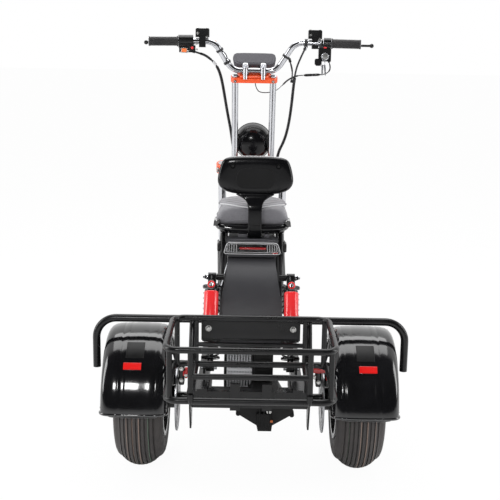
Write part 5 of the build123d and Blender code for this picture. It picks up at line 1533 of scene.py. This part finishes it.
# ---- suspension and driveline -----------------------------------------------------------------
@dataclass
class Shocks:
    """The coil springs, reservoirs, knobs and pins of both shock absorbers."""

    top: Triple = (118, 120, 336)
    low: Triple = (118, 4, 92)
    coil_radius: float = 24.3
    wire: float = 5.6
    turns: int = 13
    span: Pair = (34.0, 240.0)
    spring_seat: Pairs = ((0, 19), (0, 27), (1.5, 28), (5.5, 28), (7, 27), (7, 19))
    seat_length: float = 7.0
    back: float = 50.0
    can: float = 21.5
    # Each place along the can, and how far its radius stands from the can's; the ends close on the axis.
    can_profile: Pairs = ((53, -4), (54.5, -1.4), (57, 0), (138, 0), (138.6, -0.8), (141, -0.8), (141.6, 0),
                          (147, 0), (149.5, -2), (150, -5))
    neck_profile: Pairs = ((33, 0), (33, 11), (35, 13), (44, 13), (46, 16), (50, 19.5), (57, 20.2), (57, 0))
    bridge_along: float = 40.0
    knob_place: Pair = (35.0, 9.0)
    star_profile: Pairs = ((0, 0), (0, 6.4), (3.6, 6.4), (5.0, 4.6), (5.0, 0))
    pins: Pairs = ((18, 8.5), (24, 5.5), (28, 4.2))

    def build(self) -> None:
        """Build the right one, and its mirror."""
        start, end = rear(*self.top), rear(*self.low)
        along = (end - start).normalized()
        behind = along.cross(ACROSS).normalized()
        if behind.y > 0:
            behind = -behind
        self.spring(start, along, behind)
        axis = start + behind * self.back * MM
        profile = [(self.can_profile[0][0], 0), *((d, self.can + r) for d, r in self.can_profile),
                   (self.can_profile[-1][0], 0)]
        self.pair(turned("can", profile, axis, along, 56), "shock_reservoir", "red_anodised",
                  ["shock_reservoirs"])
        neck = turned("neck", self.neck_profile, axis, along)
        level = along * self.bridge_along * MM
        bridge = rod("bridge", start + level + behind * 16 * MM, axis + level, 11)
        knob = axis + along * self.knob_place[0] * MM + behind * self.knob_place[1] * MM
        barrel = rod("barrel", knob - behind * 6 * MM, knob + behind * 2 * MM, 9.4)
        self.pair(joined("neck_group", neck, bridge, barrel), "shock_neck", "lever_black", [])
        self.pair(ring("knob", knob + behind * 3 * MM, behind, 8.8, 2.2), "shock_knob", "red_anodised", [])
        star = turned("star", self.star_profile, knob + behind * 1.6 * MM, behind, 5, 20)
        self.pair(star, "shock_star", "chrome", [])
        pins = [rod("pin", start + ACROSS * 10 * MM, start + ACROSS * reach * MM, radius, ease=1.2)
                for reach, radius in self.pins]
        pins.append(rod("pin", end - ACROSS * 20 * MM, end + ACROSS * 26 * MM, 8))
        self.pair(joined("pins", *pins), "shock_pins", "chrome", [])

    def spring(self, start: Vector, along: Vector, behind: Vector) -> None:
        """The coil between its two seats."""
        first, last = self.span
        coil = []
        for k in range(self.turns * 10 + 1):
            angle = math.tau * k / 10
            out = ACROSS * math.cos(angle) + behind * math.sin(angle)
            centre = start + along * (first + (last - first) * k / (self.turns * 10)) * MM
            coil.append(centre + out * self.coil_radius * MM)
        seats = [turned("seat", [(place + d, r) for d, r in self.spring_seat], start, along)
                 for place in (first - self.seat_length, last)]
        self.pair(joined("spring", pipe("coil", coil, self.wire), *seats), "shock_coil", "lever_black",
                  ["shock_springs"])

    def pair(self, piece: bpy.types.Object, name: str, look: str, nodes: list[str]) -> None:
        """Dress the right piece and its mirror on the left."""
        fit(mirrored(piece, f"{name}_left"), "chassis", look, replaces=nodes)
        piece.name = f"{name}_right"
        fit(piece, "chassis", look, replaces=nodes)


@dataclass
class Driveline:
    """The calipers, the motor's fins, the axle case's skid and wings, and the welds of the tubes."""

    caliper_yz: Pair = (-6, 76)
    caliper_bean: Pairs = ((-26, -30), (20, -32), (27, -20), (28, 22), (20, 33), (-14, 34), (-27, 22))
    caliper_halves: Pairs = ((192, 208), (218, 234))
    piston_spans: Pairs = ((190, 206), (220, 236))
    piston_places: Pairs = ((-12, 10), (12, -12))
    # Each cover: from and to across, then fore and aft, then up.
    covers_left: tuple[tuple[float, ...], ...] = ((-190, -182, -30, -16, -8, 24),
                                                  (-196, -189, -28, -18, -2, 14))
    covers_right: tuple[tuple[float, ...], ...] = (
        (174, 184, -30, -16, -8, 30), (184, 226, -31, -22, 14, 30), (220, 229, -32, -18, -8, 24))
    caliper_bolts: Pairs = ((-22, -14), (-20, 20))
    carrier_bolts: Pairs = ((178, -46), (168, -20), (186, 2))
    fins: int = 9
    motor_ends: Pair = (-70, 6)
    motor_yz: Pair = (96, 56)
    motor_radius: float = 62.0
    motor_rib_levels: tuple[float, ...] = (84, 70, 56)
    gearbox: tuple[Triple, Triple] = ((12, 18, 44), (68, 66, 134))
    gearbox_slots: tuple[float, ...] = (60, 76, 92, 108)
    skid: Pairs = ((20, -30), (64, -30), (62, -77), (24, -77))
    wing: Pairs = ((-38, -28), (-40, -38), (-30, -39), (-10, -46), (8, -54), (22, -62), (62, -62), (76, -54),
                   (96, -44), (122, -43), (130, -36), (126, -28))
    case_ribs: tuple[float, ...] = (28, 41, 54)
    case_lobes: Pairs = ((-33, -35), (124, -37))
    case_studs: tuple[float, ...] = (-30, -12, 6, 84, 104)
    plate_bolt: Pair = (118, 0.448)
    weld: Triple = (-15, -50, 253.2)

    def build(self) -> None:
        """Build each in turn."""
        self.calipers()
        self.motor()
        self.case()
        self.basket()

    def calipers(self) -> None:
        """Two-piece calipers with a bridge, pistons, red covers and bolts."""
        y, z = self.caliper_yz
        for side, sign, places in (("left", -1, self.covers_left), ("right", 1, self.covers_right)):
            halves = []
            for x0, x1 in self.caliper_halves:
                outline = [rear(sign * x0, y + a, z + b) for a, b in self.caliper_bean]
                halves.append(plate("half", outline, ACROSS * sign * (x1 - x0) * MM, 4, 3))
            halves.append(block("bridge", rear(min(sign * 206, sign * 220), y - 14, z + 22),
                                rear(max(sign * 206, sign * 220), y + 14, z + 34), 3))
            for a, b in self.piston_places:
                for x0, x1 in self.piston_spans:
                    halves.append(rod("piston", rear(sign * x0, y + a, z + b), rear(sign * x1, y + a, z + b),
                                      8,
                                      ease=2))
            body = joined(f"caliper_{side}", *halves)
            fit(body, "chassis", "lever_black", ["rear_calipers"])
            covers = [block("cover", rear(x0, y + a, z + b), rear(x1, y + c, z + d), 3)
                      for x0, x1, a, c, b, d in places]
            fit(joined(f"caliper_cover_{side}", *covers), "chassis", "red_anodised")
            for index, (a, b) in enumerate(self.caliper_bolts):
                bolt(f"caliper_bolt_{side}_{index}", rear(sign * 200, y + a - 6, z + b), -FORWARD, 4.5)
            for index, (x, height) in enumerate(self.carrier_bolts):
                bolt(f"carrier_bolt_{side}_{index}", rear(sign * x, -34, z + height), -FORWARD, 4.2,
                     Head.SOCKET)

    def motor(self) -> None:
        """The motor's cooling fins and its end covers."""
        y, z = self.motor_yz
        first, last = self.motor_ends
        pitch = (last - first) / self.fins
        radius = self.motor_radius
        fin = ((0, -3), (0, 1.6), (0.8, 2.4), (pitch * 0.5, 2.4), (pitch * 0.6, 1.6), (pitch * 0.6, -3))
        fins = [turned("fin", [(pitch * k + d, radius + r) for d, r in fin], rear(first, y, z), ACROSS, 72)
                for k in range(self.fins)]
        fit(joined("motor_fins", *fins), "chassis", "silver_case")
        collar = ((0, 20), (0, radius + 1), (2, radius + 3), (7, radius + 3), (9, radius + 1), (9, 20))
        collars = [turned("collar", [(place + d, r) for d, r in collar], rear(0, y, z), ACROSS, 72)
                   for place in (first - 8, last + 1)]
        fit(joined("motor_collars", *collars), "chassis", "cast_black")
        plates = [block("label", rear(first + 4, y - radius - 6, z0), rear(last, y - radius + 8, z0 + 9), 1.5)
                  for z0 in self.motor_rib_levels]
        fit(joined("motor_ribs", *plates), "chassis", "silver_case")
        gearbox = block("gearbox", *(rear(*corner) for corner in self.gearbox), 5, 3)
        slots = [block("slot", rear(20, 15.5, z0), rear(60, 19, z0 + 5), 1) for z0 in self.gearbox_slots]
        fit(joined("motor_gearbox", gearbox, *slots), "chassis", "cast_black")

    def case(self) -> None:
        """The skid block under the axle case, its wings, ribs and plugs."""
        skid = plate("skid", [rear(x, -52, z) for x, z in self.skid], FORWARD * 44 * MM, 3)
        wings = plate("wings", [rear(x, -36, z) for x, z in self.wing], FORWARD * 16 * MM, 2.5)
        ribs = [block("rib", rear(x, -56, -74), rear(x + 4, -38, 0), 1.2) for x in self.case_ribs]
        lobes = [rod("lobe", rear(x, -44, z), rear(x, -14, z), 7) for x, z in self.case_lobes]
        fit(joined("axle_skid", skid, wings, *ribs, *lobes), "chassis", "cast_black")
        bolt("axle_plug", rear(57, -50, -24), -FORWARD, 5.5)
        bolt("axle_drain", rear(65, -54, -53), -FORWARD, 3.2, Head.DOME, look="copper")
        for index, x in enumerate(self.case_studs):
            bolt(f"axle_stud_{index}", rear(x, -44, 12 if index % 2 else 26), -FORWARD, 4.2)

    def basket(self) -> None:
        """The plate's bolts and hems, the posts' feet, and the weld on the roll bar."""
        low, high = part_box("basket_plate")
        across, level = self.plate_bolt
        for index, x in enumerate((-across, across)):
            bolt(f"plate_bolt_{index}", Vector((x * MM, low.y, level)), -FORWARD, 6.5)
        face = low.y - 0.2 * MM
        hems = [rod("hem", Vector((low.x + 4 * MM, face, z)), Vector((high.x - 4 * MM, face, z)), 2.2)
                for z in (low.z + 3 * MM, high.z - 3 * MM)]
        fit(joined("plate_hems", *hems), "chassis", "frame_black")
        foot = turned("foot", [(0, 7.4), (10, 8.2), (22, 5.5), (28, 2.2), (29, 0)], rear(150, -428.6, 168),
                      -UP, 28)
        fit(joined("post_feet", foot, mirrored(foot, "foot_left")), "chassis", "frame_black")
        x, y, z = self.weld
        bead = [ring("bead", rear(x + k * 1.6, y, z), ACROSS, 11.2, 0.9) for k in range(3)]
        fit(joined("roll_bar_weld", *bead), "chassis", "bolt_zinc")


# ---- front end --------------------------------------------------------------------------------
@dataclass
class Controls:
    """The grips, clamps, switches, keys, display, crowns and headlight."""

    bar_upper: Triple = (149, -403, 1022)
    bar_end: Triple = (388, -428, 1019)
    grip_length: float = 108.0
    grip_radius: float = 16.8
    grip_rings: int = 22
    grip_pitch: float = 4.2
    # Each collar of the bar: from, to and radius, along from the grip's start.
    bar_collars: Triples = ((-36, -30, 14), (-8, -3, 15))
    clamp_x: float = 33.0
    clamp_centre: Pair = (-380, 916)
    clamp_knurls: int = 9
    post_foot: Pair = (-402, 886)
    riser_x: float = 70.8
    # Each small part: its name, its spans across, fore and aft and up, its look and its slot.
    pod_parts: tuple[tuple[str, Pair, Pair, Pair, str, str], ...] = (
        ("rocker_frame", (-270, -245), (-431, -427), (979, 998), "bolt_zinc", "chrome"),
        ("rocker", (-267, -248.5), (-434, -428), (982, 995), "switch_orange", "orange_paint"),
        ("button_block", (-239, -216), (-432, -427), (988, 1007), "lever_black", "lever_black"),
        ("toggle", (252, 263), (-430, -420), (1003, 1014), "switch_red", "red_reflector"),
        ("switch_pod", (236, 268), (-424, -400), (1000, 1022), "satin_black", "satin_black"))
    button_profile: Pairs = ((0, 0), (0, 4.8), (3, 4.8), (4.2, 3.6), (4.6, 0))
    pod_screws: Pairs = ((-243, 1014), (-212, 1012), (-243, 986), (-211, 992))
    lids: tuple[tuple[str, float, float], ...] = (("left", -217, -167), ("right", 196, 246))
    stub_profile: Pairs = ((0, 0), (0, 5.5), (8, 5.5), (9, 4.4), (17, 4.4), (18, 3), (20, 0))
    key_head: Pairs = ((-13, 9), (-9, 13), (9, 13), (13, 8), (13, -8), (6, -13), (-7, -13), (-13, -7))
    key_blade: Pairs = ((-3.2, 0), (3.2, 0), (3.2, -20), (1.6, -22), (3.2, -26), (2, -34), (0, -40),
                        (-3.2, -36))
    display_centre: Pair = (-326, 953)
    display_tilt: float = 50.0
    display_outline: Pairs = ((-64, -32), (64, -32), (76, -24), (81, 8), (78, 24), (68, 31), (40, 32.5),
                              (-40, 32.5), (-68, 31), (-78, 24), (-81, 8), (-76, -24))
    cap_profile: Pairs = ((0, 0), (0, 12), (2, 12.6), (5, 12), (6.5, 9), (6.5, 6), (3, 5), (3, 0))
    clamp_middle: Pairs = ((-52, -16), (52, -16), (58, 8), (40, 30), (-40, 30), (-58, 8))
    bowl_near: Pairs = ((0, 0), (0.8, 16), (4.5, 31), (11, 44), (20, 54.5), (31, 62.5))
    headlight_rings: Triples = ((0.3, 61.0, 1.2), (0.97, 72.5, 1.8))
    headlight_bolts: Pairs = ((-66, 28), (66, 28), (-66, -30), (66, -30))

    def build(self) -> None:
        """Build each group."""
        for sign, side in ((-1, "left"), (1, "right")):
            self.grip(sign, side)
        self.clamps()
        self.switches()
        self.keys()
        self.display()
        self.crowns()
        self.headlight()

    def grip(self, sign: int, side: str) -> None:
        """A ribbed grip with its flange and its end ring."""
        start = front(sign * self.bar_upper[0], *self.bar_upper[1:])
        end = front(sign * self.bar_end[0], *self.bar_end[1:])
        along = (end - start).normalized()
        foot = end - along * self.grip_length * MM
        big = self.grip_radius
        profile: list[Pair] = [(0, 11), (0, big + 1.2), (1, big + 2), (4, big + 2), (5.5, big - 0.6)]
        for k in range(self.grip_rings):
            d = 8 + k * self.grip_pitch
            profile += [(d, big - 1.4), (d + 0.8, big - 0.2), (d + 2.4, big - 0.2), (d + 3.2, big - 1.4)]
        profile += [(101, big - 0.8), (102, big + 0.3), (106.6, big + 0.3), (108, big - 1.5), (108, 0)]
        fit(turned(f"grip_{side}", profile, foot, along, 48, 25), "steering", "deck_rubber",
            replaces=["handle_grips"])
        band = [(107.2, big - 3), (107.2, big - 0.4), (108.2, big - 0.4), (108.2, big - 3)]
        fit(turned(f"grip_ring_{side}", band, foot, along, 40), "steering", "pale_grey_and_painted_highlight")
        for index, (first, last, radius) in enumerate(self.bar_collars):
            fit(turned(f"bar_collar_{side}_{index}", [(first, 11), (first, radius), (last, radius),
                                                      (last, 11)],
                       foot, along, 36), "steering", "chrome" if index else "lever_black")

    def clamps(self) -> None:
        """The knurled round heads of the bar clamps with their bolts."""
        knurls = [(-11 + k * 2.5 + d, r) for k in range(self.clamp_knurls)
                  for d, r in ((0, 18.4), (0.5, 19.4), (1.6, 19.4), (2.1, 18.4))]
        band = [(-11.5, 11), (-11.5, 18.5), *knurls, (11.5, 18.5), (11.5, 11)]
        head = [(43 + k * 1.6 + e, 11.6 - 0.7 * (e > 0.7)) for k in range(8) for e in (0.2, 1.0)]
        profile = [(0, 0), (0, 8.2), (38, 8.4), (40, 9.6), (42, 9.6), (43, 11.2), *head, (57, 11),
                   (59.5, 8.5),
                   (61, 4), (61, 0)]
        for sign, side in ((-1, "left"), (1, "right")):
            x = sign * self.clamp_x
            fit(turned(f"clamp_band_{side}", band, front(x, *self.clamp_centre), ACROSS, 48, 20), "steering",
                "chrome")
            post = turned("post", profile, front(x, *self.post_foot), UP, 36, 20)
            strip = block("strip", front(x - 7, -400, 892), front(x + 7, -384, 926), 2.5)
            fit(joined(f"clamp_post_{side}", post, strip), "steering", "chrome")

    def switches(self) -> None:
        """The rocker, buttons and switch heads, and the master cylinders' screws."""
        for name, xs, ys, zs, look, slot in self.pod_parts:
            fit(block(name, front(xs[0], ys[0], zs[0]), front(xs[1], ys[1], zs[1]), 2, 3), "steering", look)
        button = turned("button_red", self.button_profile, front(-228, -431, 997.5), -FORWARD)
        fit(button, "steering", "switch_red")
        for index, (x, z) in enumerate(self.pod_screws):
            bolt(f"pod_screw_{index}", front(x, -429, z), -FORWARD, 2.6, Head.DOME, "steering")
        for side, x0, x1 in self.lids:
            lid = block(f"cylinder_lid_{side}", front(x0 + 1, -415, 1063), front(x1 - 1, -379, 1068), 2.2, 3)
            fit(lid, "steering", "lever_black")
            for index, x in enumerate((x0 + 8, x1 - 8)):
                bolt(f"lid_screw_{side}_{index}", front(x, -397, 1068), UP, 3.4, Head.DOME, "steering")
                bolt(f"clamp_screw_{side}_{index}", front(x, -417, 1050 - 14 * index), -FORWARD, 3.6,
                     Head.SOCKET,
                     "steering")
        stub = turned("brake_switch", self.stub_profile, front(-160, -400, 1020), ACROSS)
        fit(stub, "steering", "copper")

    def keys(self) -> None:
        """The key ring, the key's head and two blades under the lock, and the cable ring."""
        fit(ring("lock_ring", front(258, -427, 974), FORWARD, 12, 2.2), "steering", "chrome")
        fit(turned("lock_face", [(0, 0), (0, 11), (2.5, 10.4), (3, 0)], front(258, -426, 974), -FORWARD),
            "steering",
            "bolt_zinc")
        fit(ring("key_ring", front(247, -430, 950), Vector((0.3, 1, 0)), 11, 1.1), "steering", "chrome")
        outline = [front(233 + x, -433, 953 + z) for x, z in self.key_head]
        fit(plate("key_head", outline, FORWARD * 6 * MM, 1.5), "steering", "lever_black")
        for index, (x, tilt) in enumerate(((249, 0.0), (257, 5.0))):
            outline = [front(x + a + tilt * -b / 40, -431 + index * 2.4, 944 + b) for a, b in self.key_blade]
            fit(plate(f"key_blade_{index}", outline, FORWARD * 1.8 * MM, 0.4), "steering", "chrome")
        fit(ring("cable_ring", front(186, -408, 1005), Vector((0.8, 0.6, 0)), 6.8, 1.4), "steering", "chrome")

    def display(self) -> None:
        """The display's rounded case, its face and its feet."""
        tilt = math.radians(self.display_tilt)
        centre = front(0, *self.display_centre)
        out = Vector((0, -math.cos(tilt), math.sin(tilt)))
        up = Vector((0, math.sin(tilt), math.cos(tilt)))
        outline = [centre + (ACROSS * x + up * z - out * 10.5) * MM for x, z in self.display_outline]
        shell = plate("display_shell", outline, out * 21 * MM, 5, 4)
        fit(shell, "steering", "dash_grey", ["display"])
        outline = [centre + (ACROSS * x * 0.86 + up * z * 0.76 + out * 10.2) * MM for x,
                   z in self.display_outline]
        fit(plate("display_face", outline, out * 1.2 * MM, 0.5), "steering", "dash_grey")
        feet = [rod("foot", centre + (ACROSS * x - up * 20) * MM, fork(x, 20, 972), 5) for x in (-20, 20)]
        fit(joined("display_posts", *feet), "steering", "lever_black")

    def crowns(self) -> None:
        """The clamp's raised middle, the tubes' caps and the pinch bolts."""
        for side in (-1, 1):
            x = side * self.riser_x
            cap = turned(f"riser_cap_{side + 1}", self.cap_profile, fork(x, 0, 971), FORK_UP)
            fit(cap, "steering", "chrome")
            for index, z in enumerate((574, 586)):
                bolt(f"crown_bolt_{side + 1}_{index}", fork(side * 136, -21, z), -FORK_FORWARD, 4.5,
                     Head.SOCKET,
                     "steering")
            bolt(f"clamp_pinch_{side + 1}", fork(x, -21, 962), -FORK_FORWARD, 4.2, Head.SOCKET, "steering")
        middle_block = plate("clamp_middle", [fork(x, y, 971.2) for x, y in self.clamp_middle],
                             FORK_UP * 8 * MM, 3)
        fit(middle_block, "steering", "orange_paint")

    def headlight(self) -> None:
        """The headlight's bowl with its rings, its arms and the bracket bolts."""
        low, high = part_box("headlight_shell")
        centre = Vector(((low.x + high.x) / 2, 0, (low.z + high.z) / 2))
        depth = high.y - low.y
        reach = depth / MM
        profile = [*self.bowl_near, (reach * 0.6, 68), (reach * 0.86, 71.5), (reach - 1, 73), (reach, 72),
                   (reach, 69), (reach * 0.7, 60)]
        bowl = turned("headlight_bowl", profile, Vector((centre.x, low.y, centre.z)), FORWARD, 72)
        fit(bowl, "steering", "shell_black", ["headlight_shell"])
        arms = []
        for side in (-1, 1):
            for height in (30, -30):
                start = Vector((centre.x + side * 50 * MM, low.y + 40 * MM, centre.z + height * MM))
                tube = Vector((side * self.riser_x * MM, low.y + 34 * MM, start.z))
                arms.append(rod("arm", start, tube, 5.5))
        fit(joined("headlight_arms", *arms), "steering", "lever_black")
        for index, (share, radius, wire) in enumerate(self.headlight_rings):
            place = Vector((centre.x, low.y + depth * share, centre.z))
            fit(ring(f"headlight_ring_{index}", place, FORWARD, radius, wire), "steering", "lever_black")
        for index, (x, z) in enumerate(self.headlight_bolts):
            bolt(f"headlight_bolt_{index}", Vector((x * MM, low.y + depth * 0.4, centre.z + z * MM)),
                 -FORWARD, 4,
                 Head.SOCKET, "steering")


@dataclass
class Deck:
    """The footboard's moulded ridges."""

    pitch: float = 17.0
    ridge_half: float = 3.2
    ridge_rise: float = 2.2
    end_gap: float = 20.0

    def build(self) -> None:
        """Lay the ridges along the board."""
        low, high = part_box("footboard")
        count = int((high.x - low.x) / MM / self.pitch) - 1
        start = (low.x + high.x) / 2 - (count - 1) / 2 * self.pitch * MM
        half, gap = self.ridge_half * MM, self.end_gap * MM
        first = block("ridge", Vector((start - half, low.y + gap, high.z - MM)),
                      Vector((start + half, high.y - gap, high.z + self.ridge_rise * MM)), 1.2)
        more = [again(first, "ridge", ACROSS * self.pitch * k * MM) for k in range(1, count)]
        fit(joined("deck_ridges", first, *more), "chassis", "deck_rubber")


def main() -> None:
    """Build the scooter's looks in order."""
    logging.basicConfig(level=logging.INFO, format="%(message)s")
    Studio().build()
    dress_cad()
    Cables().build()
    Wheels().build()
    RearFender("left", -1).build()
    RearFender("right", 1).build()
    Saddle().build()
    Backrest().build()
    Tail().build()
    Shocks().build()
    Driveline().build()
    Controls().build()
    Deck().build()
    clear_patterns()


if __name__ == "__main__":
    main()
